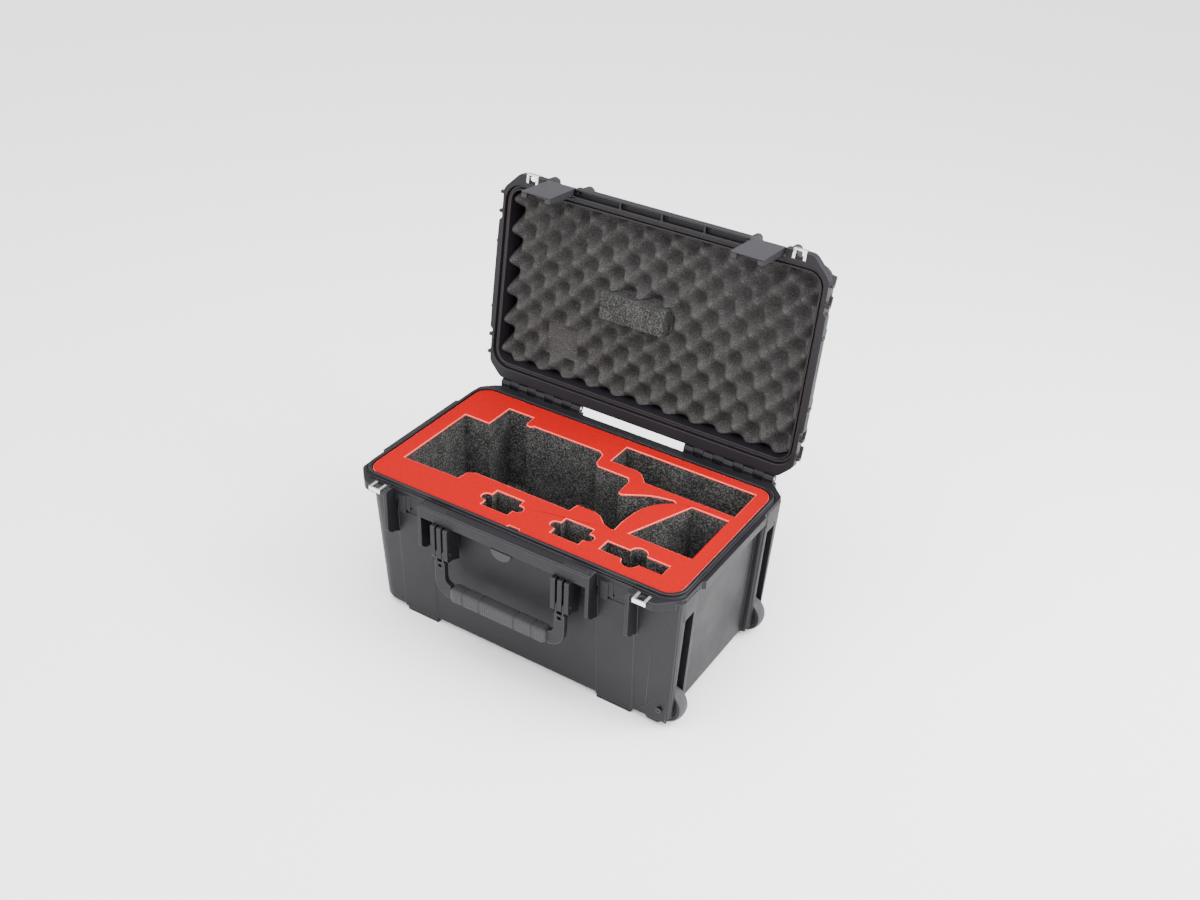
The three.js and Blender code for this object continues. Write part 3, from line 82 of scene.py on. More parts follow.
def linear(code: str) -> tuple[float, float, float, float]:
    """Turns an sRGB hex colour into linear RGBA.

    Args:
        code: the colour as "#rrggbb".

    Returns:
        Linear red, green and blue, with alpha 1.
    """
    parts = [int(code[i:i + 2], 16) / 255 for i in (1, 3, 5)]
    red, green, blue = (c / 12.92 if c <= 0.04045 else ((c + 0.055) / 1.055) ** 2.4 for c in parts)
    return red, green, blue, 1.0


def add(tree: bpy.types.NodeTree, kind: str, inputs: Optional[dict] = None,
        **settings: object) -> bpy.types.Node:
    """Adds a shader node with its settings and links.

    Args:
        tree: the material's node tree.
        kind: the node's type, without the "ShaderNode" prefix.
        inputs: socket name or index to a value, or to an output socket to link from.
        settings: properties of the node.

    Returns:
        The new node.
    """
    node = tree.nodes.new("ShaderNode" + kind)
    for key, value in settings.items():
        setattr(node, key, value)
    for key, value in (inputs or {}).items():
        if isinstance(value, bpy.types.NodeSocket):
            tree.links.new(value, node.inputs[key])
        else:
            node.inputs[key].default_value = value
    return node


def ramp(tree: bpy.types.NodeTree, factor: bpy.types.NodeSocket,
         stops: Sequence[tuple[float, str]]) -> bpy.types.NodeSocket:
    """Adds a colour ramp.

    Args:
        tree: the material's node tree.
        factor: the socket that drives it.
        stops: position and hex colour of each stop, in order.

    Returns:
        The ramp's colour output.
    """
    node = add(tree, "ValToRGB", {"Fac": factor})
    elements = node.color_ramp.elements
    while len(elements) < len(stops):
        elements.new(0.5)
    for element, (position, code) in zip(elements, stops):
        element.position = position
        element.color = linear(code)
    return node.outputs["Color"]


def blend(tree: bpy.types.NodeTree, share: float, first: bpy.types.NodeSocket,
          second: bpy.types.NodeSocket) -> bpy.types.NodeSocket:
    """Mixes two values.

    Args:
        tree: the material's node tree.
        share: how much of the second value goes in, 0 to 1.
        first: socket of the first value.
        second: socket of the second value.

    Returns:
        The mixed value's output.
    """
    return add(tree, "Mix", {0: share, 2: first, 3: second}, data_type="FLOAT").outputs[0]


def roughen(tree: bpy.types.NodeTree, shader: bpy.types.Node, pattern: bpy.types.NodeSocket, low: float,
            high: float) -> None:
    """Spreads a noise over a range of roughness.

    Args:
        tree: the material's node tree.
        shader: the material's shader.
        pattern: socket of the noise; its middle part, 0.3 to 0.7, is used.
        low: roughness at the pattern's 0.3.
        high: roughness at its 0.7.
    """
    spread = add(tree, "MapRange", {"Value": pattern, "From Min": 0.3, "From Max": 0.7, "To Min": low,
                                    "To Max": high})
    tree.links.new(spread.outputs["Result"], shader.inputs["Roughness"])


def emboss(tree: bpy.types.NodeTree, shader: bpy.types.Node, pattern: bpy.types.NodeSocket,
           strength: float, depth_mm: float) -> None:
    """Gives the surface a bump that follows a pattern.

    Args:
        tree: the material's node tree.
        shader: the material's shader.
        pattern: socket of the height.
        strength: how strongly it shows, 0 to 1.
        depth_mm: depth of the real relief.
    """
    bump = add(tree, "Bump", {"Height": pattern, "Strength": strength, "Distance": depth_mm * MM})
    tree.links.new(bump.outputs["Normal"], shader.inputs["Normal"])


class Finish:
    """What every finish shares: a material made once and kept."""

    name: str

    def build(self, tree: bpy.types.NodeTree, shader: bpy.types.Node,
              place: bpy.types.NodeSocket) -> None:
        """Dresses the shader; each finish has its own way.

        Args:
            tree: the material's node tree.
            shader: its shader.
            place: the point's position on the object, in metres.
        """
        raise NotImplementedError

    def material(self) -> bpy.types.Material:
        """Returns the finish's material, made on first use."""
        found = bpy.data.materials.get(self.name)
        if found:
            return found
        made = bpy.data.materials.new(self.name)
        made.use_nodes = True
        tree = made.node_tree
        shader = tree.nodes["Principled BSDF"]
        place = add(tree, "TexCoord").outputs["Object"]
        self.build(tree, shader, place)
        return made


@dataclass(frozen=True)
class MouldedPlastic(Finish):
    """Injection-moulded polypropylene copolymer with a spark-eroded grain.

    The grain breaks the highlight into a soft grey sheen, and slow changes of roughness show how
    the melt flowed.
    """

    name: str
    colour: str
    lighter: str
    roughness: float = 0.5
    grain_mm: float = 1.1
    grain_depth_mm: float = 0.05

    def build(self, tree: bpy.types.NodeTree, shader: bpy.types.Node,
              place: bpy.types.NodeSocket) -> None:
        """Grain as fine noise bump, with a broad noise in colour and roughness."""
        broad = add(tree, "TexNoise", {"Vector": place, "Scale": 9.0, "Detail": 3.0, "Roughness": 0.6})
        fine = add(tree, "TexNoise", {"Vector": place, "Scale": 1 / (self.grain_mm * MM), "Detail": 2.0,
                                      "Roughness": 0.65})
        both = blend(tree, 0.35, broad.outputs["Fac"], fine.outputs["Fac"])
        colour = ramp(tree, both, [(0.35, self.colour), (0.65, self.lighter)])
        tree.links.new(colour, shader.inputs["Base Color"])
        roughen(tree, shader, broad.outputs["Fac"], self.roughness - 0.06, self.roughness + 0.07)
        emboss(tree, shader, fine.outputs["Fac"], 0.35, self.grain_depth_mm)
        shader.inputs["IOR"].default_value = 1.49
        shader.inputs["Specular IOR Level"].default_value = 0.24


@dataclass(frozen=True)
class CellFoam(Finish):
    """Cut polyethylene or polyurethane foam: open cells catch light beside dark ones."""

    name: str
    dark: str
    middle: str
    light: str
    cell_mm: float = 2.6
    depth_mm: float = 0.9
    roughness: float = 0.95

    def build(self, tree: bpy.types.NodeTree, shader: bpy.types.Node,
              place: bpy.types.NodeSocket) -> None:
        """Cells from a Voronoi pattern over two noises, in colour and in bump."""
        cells = add(tree, "TexVoronoi", {"Vector": place, "Scale": 1 / (self.cell_mm * MM),
                                         "Randomness": 1.0})
        noise = add(tree, "TexNoise", {"Vector": place, "Scale": 0.9 / (self.cell_mm * MM), "Detail": 4.0,
                                       "Roughness": 0.75})
        cloud = add(tree, "TexNoise", {"Vector": place, "Scale": 40.0, "Detail": 2.0})
        mixed = blend(tree, 0.5, noise.outputs["Fac"], cells.outputs["Distance"])
        wide = blend(tree, 0.2, mixed, cloud.outputs["Fac"])
        colour = ramp(tree, wide, [(0.32, self.dark), (0.46, self.middle), (0.62, self.light)])
        tree.links.new(colour, shader.inputs["Base Color"])
        emboss(tree, shader, mixed, 0.8, self.depth_mm)
        shader.inputs["Roughness"].default_value = self.roughness
        shader.inputs["Specular IOR Level"].default_value = 0.15


@dataclass(frozen=True)
class LaminatedFoam(Finish):
    """Coloured cross-linked polyethylene sheet: a smooth skin with a faint leathery pebble."""

    name: str
    colour: str
    lighter: str
    pebble_mm: float = 2.2
    pebble_depth_mm: float = 0.35

    def build(self, tree: bpy.types.NodeTree, shader: bpy.types.Node,
              place: bpy.types.NodeSocket) -> None:
        """Pebble from a Voronoi pattern, with a slow tint."""
        cells = add(tree, "TexVoronoi", {"Vector": place, "Scale": 1 / (self.pebble_mm * MM)})
        noise = add(tree, "TexNoise", {"Vector": place, "Scale": 420.0, "Detail": 3.0, "Roughness": 0.6})
        mixed = blend(tree, 0.4, noise.outputs["Fac"], cells.outputs["Distance"])
        colour = ramp(tree, mixed, [(0.3, self.colour), (0.7, self.lighter)])
        tree.links.new(colour, shader.inputs["Base Color"])
        emboss(tree, shader, mixed, 0.25, self.pebble_depth_mm)
        shader.inputs["Roughness"].default_value = 0.8
        shader.inputs["Specular IOR Level"].default_value = 0.06


@dataclass(frozen=True)
class SoftRubber(Finish):
    """Moulded elastomer: dull, with a fine matt bloom."""

    name: str
    colour: str
    lighter: str
    roughness: float = 0.72
    bloom_depth_mm: float = 0.12

    def build(self, tree: bpy.types.NodeTree, shader: bpy.types.Node,
              place: bpy.types.NodeSocket) -> None:
        """Fine noise in colour and bump."""
        noise = add(tree, "TexNoise", {"Vector": place, "Scale": 650.0, "Detail": 3.0, "Roughness": 0.7})
        colour = ramp(tree, noise.outputs["Fac"], [(0.35, self.colour), (0.65, self.lighter)])
        tree.links.new(colour, shader.inputs["Base Color"])
        emboss(tree, shader, noise.outputs["Fac"], 0.3, self.bloom_depth_mm)
        shader.inputs["Roughness"].default_value = self.roughness


@dataclass(frozen=True)
class BareMetal(Finish):
    """Stainless sheet or drawn tube: fine lines along the rolling direction spread its highlight."""

    name: str
    colour: str
    roughness: float = 0.28
    stretch: tuple[float, float, float] = (12.0, 900.0, 900.0)
    line_depth_mm: float = 0.03

    def build(self, tree: bpy.types.NodeTree, shader: bpy.types.Node,
              place: bpy.types.NodeSocket) -> None:
        """Noise stretched along X for the brush lines."""
        stretched = add(tree, "Mapping", {"Vector": place, "Scale": self.stretch})
        lines = add(tree, "TexNoise", {"Vector": stretched.outputs["Vector"], "Scale": 1.0, "Detail": 3.0})
        roughen(tree, shader, lines.outputs["Fac"], self.roughness - 0.07, self.roughness + 0.08)
        emboss(tree, shader, lines.outputs["Fac"], 0.15, self.line_depth_mm)
        shader.inputs["Base Color"].default_value = linear(self.colour)
        shader.inputs["Metallic"].default_value = 1.0


@dataclass(frozen=True)
class PaintedFloor(Finish):
    """Matt white paper sweep, which gives the eye nothing but the object's own soft shadow."""

    name: str
    colour: str

    def build(self, tree: bpy.types.NodeTree, shader: bpy.types.Node,
              place: bpy.types.NodeSocket) -> None:
        """A plain matt white."""
        shader.inputs["Base Color"].default_value = linear(self.colour)
        shader.inputs["Roughness"].default_value = 0.9
        shader.inputs["Specular IOR Level"].default_value = 0.1


SHELL = MouldedPlastic("moulded_charcoal_plastic", "#100e13", "#151318", roughness=0.52)
# painted highlight: the rounded edges of the shells, the bail and the pull grip get a lighter plastic
# colour that stands in for light caught along them
SHELL_EDGE_HIGHLIGHT = MouldedPlastic("moulded_charcoal_plastic_painted_edge_highlight", "#1f1e21", "#272629", roughness=0.4)
LATCH = MouldedPlastic("moulded_grey_plastic", "#232226", "#2a292d", roughness=0.46)
WHEEL = MouldedPlastic("moulded_wheel_plastic", "#1d1c20", "#252428", roughness=0.42)
RED_TOP = LaminatedFoam("laminated_red_foam", "#8c0003", "#980005")
RED_CUT = LaminatedFoam("cut_edge_of_red_foam", "#e8453a", "#f06a60")
GREY_FOAM = CellFoam("cut_grey_foam", "#111111", "#262626", "#545352")
CRATE_FOAM = CellFoam("waved_lid_foam", "#201f1f", "#323030", "#474545", cell_mm=1.6, depth_mm=0.6)
PAD_FOAM = CellFoam("loose_foam_pad", "#181818", "#292929", "#434342", cell_mm=2.8, depth_mm=1.0)
SEAL = SoftRubber("foamed_rubber_seal", "#1a1412", "#241c19", roughness=0.8)
GRIP = SoftRubber("soft_ribbed_rubber", "#1c1c1f", "#262629")
TYRE = SoftRubber("polyurethane_tyre", "#26262a", "#303035", roughness=0.6)
STAINLESS = BareMetal("stainless_sheet", "#dcddde")
BLACKENED = BareMetal("blackened_screw_steel", "#3a3a3d", roughness=0.4)
TUBE = BareMetal("anodised_tube", "#b9bbbe", roughness=0.33)
PAPER = PaintedFloor("paper_floor", "#fcfcfc")


class Rounding(Enum):
    """How far an edge is rounded, in mm: sharp cut foam, sheet metal, moulded and soft edges."""

    CUT = 0.0
    SHEET = 0.35
    MOULDED = 0.8
    SOFT = 1.3


# ------------------------------------------------------------------ mesh helpers

def mesh_object(name: str, points: np.ndarray, faces: list[list[int]],
                finish: Finish) -> bpy.types.Object:
    """Makes an object from points and faces.

    Args:
        name: the object's name.
        points: N x 3 positions in metres.
        faces: vertex numbers of each face, facing out.
        finish: its finish.

    Returns:
        The linked object, smooth shaded.
    """
    mesh = bpy.data.meshes.new(name)
    mesh.from_pydata(points.astype(float).tolist(), [], faces)
    mesh.validate()
    mesh.polygons.foreach_set("use_smooth", np.ones(len(mesh.polygons), dtype=bool))
    mesh.materials.append(finish.material())
    piece = bpy.data.objects.new(name, mesh)
    bpy.context.scene.collection.objects.link(piece)
    return piece


def grid_faces(rows: int, columns: int, wrap_rows: bool = False,
               wrap_columns: bool = False) -> np.ndarray:
    """Quads of a grid, in which point (r, c) has number r * columns + c.

    Args:
        rows: number of rows of points.
        columns: number of points in a row.
        wrap_rows: whether the last row joins the first.
        wrap_columns: whether the last column joins the first.

    Returns:
        An array with the four point numbers of each quad.
    """
    r = np.arange(rows if wrap_rows else rows - 1)
    c = np.arange(columns if wrap_columns else columns - 1)
    rr, cc = np.meshgrid(r, c, indexing="ij")
    r2, c2 = (rr + 1) % rows, (cc + 1) % columns
    corners = [rr * columns + cc, rr * columns + c2, r2 * columns + c2, r2 * columns + cc]
    return np.stack(corners, axis=-1).reshape(-1, 4)


def signed_volume(piece: bpy.types.Object) -> float:
    """Volume of a closed mesh: the sum of the tetrahedra from the origin to its triangles.

    Args:
        piece: the object.

    Returns:
        Cubic metres, negative when the mesh faces inwards.
    """
    mesh = piece.data
    mesh.calc_loop_triangles()
    tri = np.empty(len(mesh.loop_triangles) * 3, dtype=np.int64)
    mesh.loop_triangles.foreach_get("vertices", tri)
    co = np.empty(len(mesh.vertices) * 3)
    mesh.vertices.foreach_get("co", co)
    p = co.reshape(-1, 3)[tri.reshape(-1, 3)]
    return float(np.einsum("ij,ij->i", p[:, 0], np.cross(p[:, 1], p[:, 2])).sum() / 6)


def face_outwards(piece: bpy.types.Object) -> None:
    """Turns a closed mesh that faces inwards.

    Args:
        piece: the object.
    """
    if signed_volume(piece) < 0:
        piece.data.flip_normals()


def dressed(node: str, finish: Finish, edge: Optional[Finish] = None,
            rounding: Rounding = Rounding.MOULDED) -> bpy.types.Object:
    """Copies a CAD node, merges its points, rounds its edges and lets it stand for the node.

    Args:
        node: the CAD node's name.
        finish: the finish of its faces.
        edge: the finish of its rounded edges, or None for the same; on the moulded plastic it is a lighter
            colour, a painted highlight.
        rounding: how far its edges are rounded.

    Returns:
        The copy, riding on the node's body.
    """
    source = frame["nodes"][node]
    piece = bpy.data.objects.new(node + "_dressed", source.data.copy())
    bpy.context.scene.collection.objects.link(piece)
    piece.data.materials.clear()
    piece.data.materials.append(finish.material())
    if edge:
        piece.data.materials.append(edge.material())
    work = bmesh.new()
    work.from_mesh(piece.data)
    bmesh.ops.remove_doubles(work, verts=work.verts, dist=MERGE_DISTANCE)
    for face in work.faces:
        face.smooth = True
        face.material_index = 0
    if rounding is Rounding.CUT:
        for corner in work.edges:
            corner.smooth = corner.calc_face_angle(0.0) < EDGE_ANGLE
    work.to_mesh(piece.data)
    work.free()
    if rounding is not Rounding.CUT:
        bevel = piece.modifiers.new("rounded edges", "BEVEL")
        bevel.width = rounding.value * MM
        bevel.segments = 2
        bevel.limit_method = "ANGLE"
        bevel.angle_limit = EDGE_ANGLE
        bevel.use_clamp_overlap = False
        bevel.miter_outer = "MITER_SHARP"
        bevel.harden_normals = False
        # bevel faces take the second finish; on the moulded plastic that is a lighter colour, a painted
        # edge highlight
        if edge:
            bevel.material = 1
    weighted = piece.modifiers.new("flat faces stay flat", "WEIGHTED_NORMAL")
    weighted.keep_sharp = True
    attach(piece, source["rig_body"])
    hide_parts(node)
    return piece


def joint(name: str) -> dict:
    """Finds a joint of the frame.

    Args:
        name: the joint's name.

    Returns:
        The joint, with its place and its range.
    """
    return next(j for j in frame["joints"] if j["name"] == name)


def turned(points: np.ndarray, centre: Sequence[float], degrees: float) -> np.ndarray:
    """Turns points about a line parallel to X: y and z rotate by the angle, x stays.

    Args:
        points: positions in metres, along the last axis.
        centre: a point on the line.
        degrees: the angle.

    Returns:
        The turned positions.
    """
    angle = math.radians(degrees)
    y, z = points[..., 1] - centre[1], points[..., 2] - centre[2]
    out = points.copy()
    out[..., 1] = centre[1] + y * math.cos(angle) - z * math.sin(angle)
    out[..., 2] = centre[2] + y * math.sin(angle) + z * math.cos(angle)
    return out


def opened(points: np.ndarray) -> np.ndarray:
    """Moves points of the shut lid to where the open lid stands.

    Args:
        points: positions with the lid shut, in metres.

    Returns:
        Their positions with the lid open.
    """
    hinge = joint("lid_hinge")
    return turned(points, hinge["pos_m"], -hinge["range_deg"][1])


# ------------------------------------------------------------------ sub-assemblies

@dataclass
class Shells:
    """Base and lid shells with their fixed mouldings."""

    nodes: tuple[str, ...] = ("base_shell", "lid_shell", "handle_mount", "pull_handle_cover")

    def build(self) -> None:
        """Dresses each shell and its badge."""
        for node in self.nodes:
            # the second finish paints a highlight along the rounded edges
            piece = dressed(node, SHELL, SHELL_EDGE_HIGHLIGHT)
            LOG.info("%s dressed", node)
        badge = dressed("handle_badge", LATCH)


@dataclass
class FoamInsert:
    """Grey foam block with its pockets, under a red top layer."""

    top: str = "foam_top_layer"
    block: str = "foam_insert"

    def build(self) -> None:
        """Dresses the block, and the top layer with paler cut sides."""
        block = dressed(self.block, GREY_FOAM, None, Rounding.CUT)
        top = dressed(self.top, RED_TOP, RED_CUT, Rounding.MOULDED)
        for face in top.data.polygons:
            face.material_index = 1 if abs(face.normal.z) < 0.5 else 0
        LOG.info("foam insert dressed")


@dataclass
class LidLining:
    """Waved foam in the lid, with a loose pad and a cut pocket, and the seal round it."""

    pitch_x: float = 0.050
    pitch_y: float = 0.053
    middle_z: float = 0.2775
    height: float = 0.0175
    corner: float = 0.022
    step: float = 0.0024
    line_gap: float = 0.0004
    half_size: tuple[float, float] = (0.2755, 0.1507)
    back_z: float = 0.3064
    back_scale: float = 0.975
    # low x, high x, low y, high y and floor of the pad's recess and of the cut pocket
    pad: tuple[float, ...] = (-0.0883, 0.0323, -0.0273, 0.0193, 0.2768)
    hole: tuple[float, ...] = (-0.197, -0.137, 0.064, 0.118, 0.2805)

    def lines(self, low: float, high: float, edges: Sequence[float]) -> np.ndarray:
        """Grid lines from low to high, doubled closely at each edge of a recess.

        Args:
            low: the first line.
            high: the last line.
            edges: where the recesses begin and end.

        Returns:
            The lines' positions, in order.
        """
        even = np.linspace(low, high, int((high - low) / self.step) + 1)
        keep = np.all(np.abs(even[:, None] - np.array(edges)[None, :]) > 2 * self.line_gap, axis=1)
        close = np.concatenate([[e - self.line_gap, e + self.line_gap] for e in edges])
        return np.sort(np.concatenate([even[keep], close]))

    def wave(self, x: np.ndarray, y: np.ndarray) -> np.ndarray:
        """Face of the foam: a product of two cosines, one along each side of the lid.

        Args:
            x: positions along the lid.
            y: positions across it.

        Returns:
            The height of the face at each point, with the lid shut.
        """
        return self.middle_z - self.height * np.cos(2 * np.pi * x / self.pitch_x) * np.cos(
            2 * np.pi * y / self.pitch_y)

    def waved_block(self) -> bpy.types.Object:
        """Builds the foam: a waved grid with rounded corners, two recesses, sides and a back.

        Near each short edge the rows are pulled in along a quarter circle, which rounds the corners.

        Returns:
            The closed block, facing out.
        """
        half_x, half_y = self.half_size
        x = self.lines(-half_x, half_x, self.pad[0:2] + self.hole[0:2])
        y = self.lines(-half_y, half_y, self.pad[2:4] + self.hole[2:4])
        xs, ys = np.meshgrid(x, y)
        over = np.clip(np.abs(ys) - (half_y - self.corner), 0, self.corner)
        pull = self.corner - np.sqrt(np.maximum(self.corner ** 2 - over ** 2, 0))
        xs = xs * (half_x - pull) / half_x
        zs = self.wave(xs, ys)
        for x0, x1, y0, y1, floor in (self.pad, self.hole):
            inside = (xs > x0) & (xs < x1) & (ys > y0) & (ys < y1)
            zs = np.where(inside, floor, zs)
        rows, columns = xs.shape
        face = np.stack([xs, ys, zs], axis=-1).reshape(-1, 3)
        index = np.arange(rows * columns).reshape(rows, columns)
        ring = np.concatenate([index[0, :-1], index[:-1, -1], index[-1, :0:-1], index[:0:-1, 0]])
        rim = face[ring].copy()
        # the sides lean in towards the lid's roof
        rim[:, 2] = self.back_z
        rim[:, :2] *= self.back_scale
        count = len(face)
        n = len(ring)
        i = np.arange(n)
        side = np.stack([ring, count + i, count + (i + 1) % n, np.roll(ring, -1)], axis=-1)
        quads = grid_faces(rows, columns)[:, ::-1]
        faces = quads.tolist() + side[:, ::-1].tolist() + [(count + i).tolist()]
        piece = mesh_object("lid_waved_foam", opened(np.concatenate([face, rim])), faces, CRATE_FOAM)
        face_outwards(piece)
        return piece

    def build(self) -> None:
        """Adds the waved block and dresses the pad and the seal."""
        piece = self.waved_block()
        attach(piece, "lid")
        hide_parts("lid_foam")
        loose = dressed("lid_foam_pad", PAD_FOAM, None, Rounding.SOFT)
        seal = dressed("lid_seal", SEAL)
        LOG.info("lid lining built")


@dataclass
class Latches:
    """Two draw latches, each with its trigger."""

    sides: tuple[str, str] = ("left", "right")

    def build(self) -> None:
        """Dresses both latches and their triggers."""
        for side in self.sides:
            dressed(f"latch_{side}", LATCH)
            dressed(f"latch_trigger_{side}", LATCH, None, Rounding.SHEET)
            LOG.info("latch %s dressed", side)


@dataclass
class Hardware:
    """Metal plates, pins and screws."""

    plates: tuple[str, ...] = ("base_padlock_plate_left", "base_padlock_plate_right",
                               "lid_padlock_plate_left", "lid_padlock_plate_right")

    def build(self) -> None:
        """Dresses the plates and every pin and screw."""
        for node in self.plates:
            dressed(node, STAINLESS, None, Rounding.SHEET)
        for node in frame["nodes"]:
            if "pin_" in node or "screw" in node:
                # axle screws and latch pins are dark, hinge and handle pins and cover screws bright
                metal = BLACKENED if "axle" in node or "latch" in node else STAINLESS
                dressed(node, metal, None, Rounding.SHEET)
        LOG.info("hardware dressed")


@dataclass
class FrontHandle:
    """Drop handle: a moulded bail with a ribbed rubber grip."""

    ribs_mm: float = 4.0
    rib_height: float = 0.0006
    end_radius: float = 0.009
    plain_end: float = 0.011
    end_drop: float = 0.7
    band_places: tuple[float, float] = (0.36, 0.72)
    band_half_width: float = 0.018
    band_depth: float = 0.0016
    section_power: float = 0.42
    steps_round: int = 56
    steps_along: int = 421

    def ribbed_grip(self) -> bpy.types.Object:
        """Builds the grip: a superellipse section swept along X.

        The section's size falls by half a cosine once per rib, by a fixed depth at the bands, and
        along a quarter circle at both ends.

        Returns:
            The closed grip, facing out.
        """
        low, high = (np.array(v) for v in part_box("handle_grip"))
        middle, half = (low + high) / 2, (high - low) / 2
        rows, count = self.steps_along, self.steps_round
        along = np.linspace(-1, 1, rows)
        angle = np.linspace(0, 2 * np.pi, count, endpoint=False)
        x = along * half[0]
        cy = np.sign(np.cos(angle)) * np.abs(np.cos(angle)) ** self.section_power
        cz = np.sign(np.sin(angle)) * np.abs(np.sin(angle)) ** self.section_power
        ribbed = -self.rib_height * (0.5 + 0.5 * np.cos(2 * np.pi * x / (self.ribs_mm * MM)))
        to_band = np.abs(np.abs(along)[:, None] - np.array(self.band_places)[None, :])
        ribbed = np.where(np.any(to_band < self.band_half_width, axis=1), -self.band_depth, ribbed)
        into = np.clip(self.end_radius - (half[0] - np.abs(x)), 0, self.end_radius)
        drop = self.end_radius - np.sqrt(np.maximum(self.end_radius ** 2 - into ** 2, 0))
        smooth_end = np.abs(x) > half[0] - self.plain_end
        size = np.where(smooth_end, 0.0, ribbed) - self.end_drop * drop
        points = np.stack([np.repeat(x[:, None], count, axis=1) + middle[0],
                           middle[1] + (half[1] + size)[:, None] * cy[None, :],
                           middle[2] + (half[2] + size)[:, None] * cz[None, :]], axis=-1)
        quads = grid_faces(rows, count, wrap_columns=True).tolist()
        ends = [list(range(count))[::-1], [(rows - 1) * count + i for i in range(count)]]
        piece = mesh_object("handle_ribbed_grip", points.reshape(-1, 3), quads + ends, GRIP)
        face_outwards(piece)
        return piece

    def build(self) -> None:
        """Dresses the bail and adds the ribbed grip round its bar."""
        # the second finish paints a highlight along the rounded edges
        dressed("handle_bail", SHELL, SHELL_EDGE_HIGHLIGHT, Rounding.SOFT)
        piece = self.ribbed_grip()
        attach(piece, "front_handle")
        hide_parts("handle_grip")
        LOG.info("front handle built")


@dataclass
class Wheels:
    """Two wheels, each a moulded hub in a polyurethane tyre."""

    tags: tuple[str, str] = ("front", "rear")
    thickness: float = 0.0057
    bead: float = 0.001
    crown_drop: float = 0.0026
    crown_power: float = 3.2
    groove_depth: float = 0.0007
    groove_place: float = 0.45
    groove_width: float = 0.07
    steps_across: int = 33
    steps_round: int = 72

    def tyre(self, tag: str) -> bpy.types.Object:
        """Lathes a tyre: a flat bead, a crowned tread with round shoulders, and two shallow grooves.

        Across the tread, from -1 to 1, the radius falls by a power of the distance from the middle
        and by a bell curve at each groove.

        Args:
            tag: "front" or "rear".

        Returns:
            The closed tyre, facing out.
        """
        low, high = (np.array(v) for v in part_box(f"wheel_tyre_{tag}"))
        centre, width, radius = (low + high) / 2, high[1] - low[1], (high[0] - low[0]) / 2
        inner, half = radius - self.thickness, width / 2
        s = np.linspace(-1, 1, self.steps_across)
        crown = radius - self.crown_drop * np.abs(s) ** self.crown_power
        groove = self.groove_depth * np.exp(-((np.abs(s) - self.groove_place) / self.groove_width) ** 2)
        tread = np.stack([crown - groove, s * half], axis=-1)
        beads = np.array([[inner, -half + self.bead], [inner, half - self.bead]])
        profile = np.concatenate([beads[:1], tread, beads[1:]])
        turn = np.linspace(0, 2 * np.pi, self.steps_round, endpoint=False)
        across = np.repeat((centre[1] + profile[:, 1])[None, :], self.steps_round, axis=0)
        points = np.stack([centre[0] + profile[None, :, 0] * np.cos(turn)[:, None], across,
                           centre[2] + profile[None, :, 0] * np.sin(turn)[:, None]], axis=-1)
        faces = grid_faces(self.steps_round, len(profile), True, True).tolist()
        piece = mesh_object(f"wheel_moulded_tyre_{tag}", points.reshape(-1, 3), faces, TYRE)
        face_outwards(piece)
        return piece

    def build(self) -> None:
        """Dresses the hubs and adds the tyres."""
        for tag in self.tags:
            dressed(f"wheel_hub_{tag}", WHEEL)
            piece = self.tyre(tag)
            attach(piece, f"wheel_{tag}")
            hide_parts(f"wheel_tyre_{tag}")
            LOG.info("wheel %s built", tag)


@dataclass
class PullHandle:
    """Telescoping handle under the base."""

    tags: tuple[str, str] = ("front", "rear")

    def build(self) -> None:
        """Dresses the tubes, the grip and its button."""
        for tag in self.tags:
            for part in ("outer", "inner"):
                dressed(f"pull_{part}_tube_{tag}", TUBE, None, Rounding.SHEET)
        # the second finish paints a highlight along the rounded edges
        dressed("pull_grip", SHELL, SHELL_EDGE_HIGHLIGHT, Rounding.SOFT)
        dressed("pull_release_button", LATCH)
        LOG.info("pull handle dressed")


@dataclass(frozen=True)
class Lamp:
    """A round soft light: where it stands, what it looks at, its width in metres and its watts."""

    name: str
    where: tuple[float, float, float]
    size: float
    power: float
    target: tuple[float, float, float] = (0.0, 0.0, 0.2)


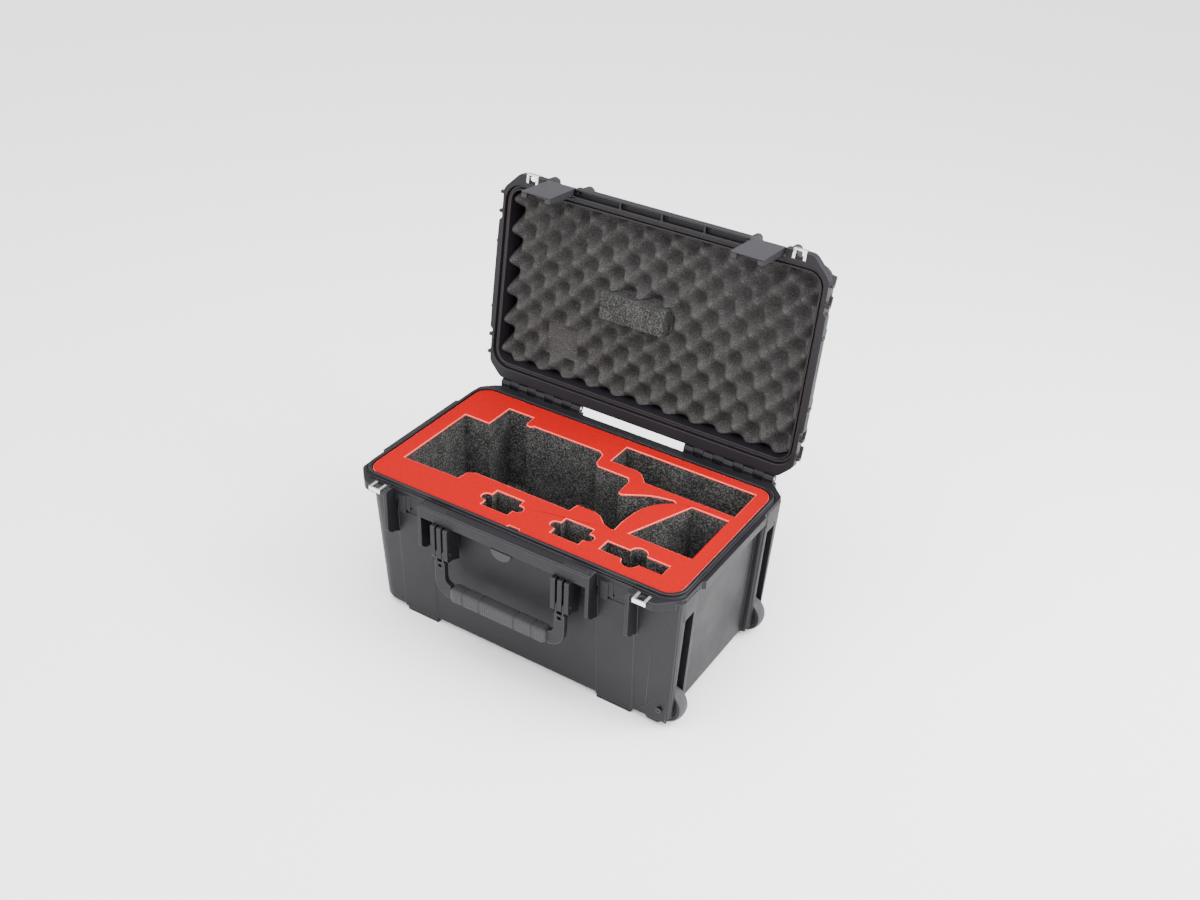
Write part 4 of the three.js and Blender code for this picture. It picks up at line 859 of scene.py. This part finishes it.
@dataclass
class Studio:
    """Camera, soft lights and a pale floor."""

    eye: tuple[float, float, float] = (0.9494, -1.4806, 1.4528)
    right: tuple[float, float, float] = (0.84330, 0.53637, 0.03402)
    up: tuple[float, float, float] = (-0.31648, 0.44443, 0.83805)
    lens_mm: float = 41.1
    floor_z: float = -0.006
    floor_reach: float = 25.0
    bright_side: tuple[float, float, float] = (0.72, -0.68, 0.1)
    dim: float = 0.8
    bright: float = 3.5
    lamps: tuple[Lamp, ...] = (Lamp("key", (1.6, 0.5, 1.7), 1.3, 70.0),
                               Lamp("top", (-0.2, -0.3, 2.4), 2.2, 60.0),
                               Lamp("front", (-0.9, -2.4, 1.1), 1.8, 22.0))

    def aim(self, eye: Sequence[float], target: Sequence[float]) -> Matrix:
        """Placement that looks from one point at another, with Z up.

        Args:
            eye: where it stands.
            target: what it looks at.

        Returns:
            The placement's matrix.
        """
        look = Vector(target) - Vector(eye)
        return Matrix.Translation(Vector(eye)) @ look.to_track_quat("-Z", "Y").to_matrix().to_4x4()

    def place_camera(self) -> None:
        """Places the camera by its eye and its own right and up directions."""
        scene = bpy.context.scene
        camera = bpy.data.cameras.new("camera")
        camera.lens = self.lens_mm
        camera.sensor_width = 36.0
        camera.clip_end = 50.0
        eye = bpy.data.objects.new("camera", camera)
        scene.collection.objects.link(eye)
        right, up = Vector(self.right).normalized(), Vector(self.up).normalized()
        turn = Matrix((right, up, right.cross(up))).transposed().to_4x4()
        eye.matrix_world = Matrix.Translation(Vector(self.eye)) @ turn
        scene.camera = eye

    def place_lamps(self) -> None:
        """Places the round soft lights."""
        for lamp in self.lamps:
            light = bpy.data.lights.new(lamp.name, "AREA")
            light.shape = "DISK"
            light.size = lamp.size
            light.energy = lamp.power
            holder = bpy.data.objects.new(lamp.name, light)
            bpy.context.scene.collection.objects.link(holder)
            holder.matrix_world = self.aim(lamp.where, lamp.target)

    def light_world(self) -> None:
        """Lights from all round, brightest from one side: strength grows with a dot product."""
        world = bpy.data.worlds.new("studio")
        bpy.context.scene.world = world
        world.use_nodes = True
        tree = world.node_tree
        place = add(tree, "TexCoord").outputs["Generated"]
        facing = add(tree, "VectorMath", {0: place, 1: self.bright_side}, operation="DOT_PRODUCT")
        strength = add(tree, "MapRange", {"Value": facing.outputs["Value"], "From Min": -1.0,
                                          "From Max": 1.0, "To Min": self.dim, "To Max": self.bright})
        tree.links.new(strength.outputs["Result"], tree.nodes["Background"].inputs["Strength"])
        tree.nodes["Background"].inputs["Color"].default_value = (1, 1, 1, 1)

    def build(self) -> None:
        """Places the camera, the lights, the world and the floor."""
        self.place_camera()
        self.place_lamps()
        self.light_world()
        reach = self.floor_reach
        corners = np.array([[-reach, -reach, self.floor_z], [reach, -reach, self.floor_z],
                            [reach, reach, self.floor_z], [-reach, reach, self.floor_z]])
        floor = mesh_object("studio_floor", corners, [[0, 1, 2, 3]], PAPER)


def main() -> None:
    """Builds every sub-assembly."""
    logging.basicConfig(level=logging.INFO, format="%(message)s")
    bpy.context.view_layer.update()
    Studio().build()
    parts = (Shells(), FoamInsert(), LidLining(), Latches(), Hardware(), FrontHandle(), Wheels(),
             PullHandle())
    for part in parts:
        part.build()


if __name__ == "__main__":
    main()
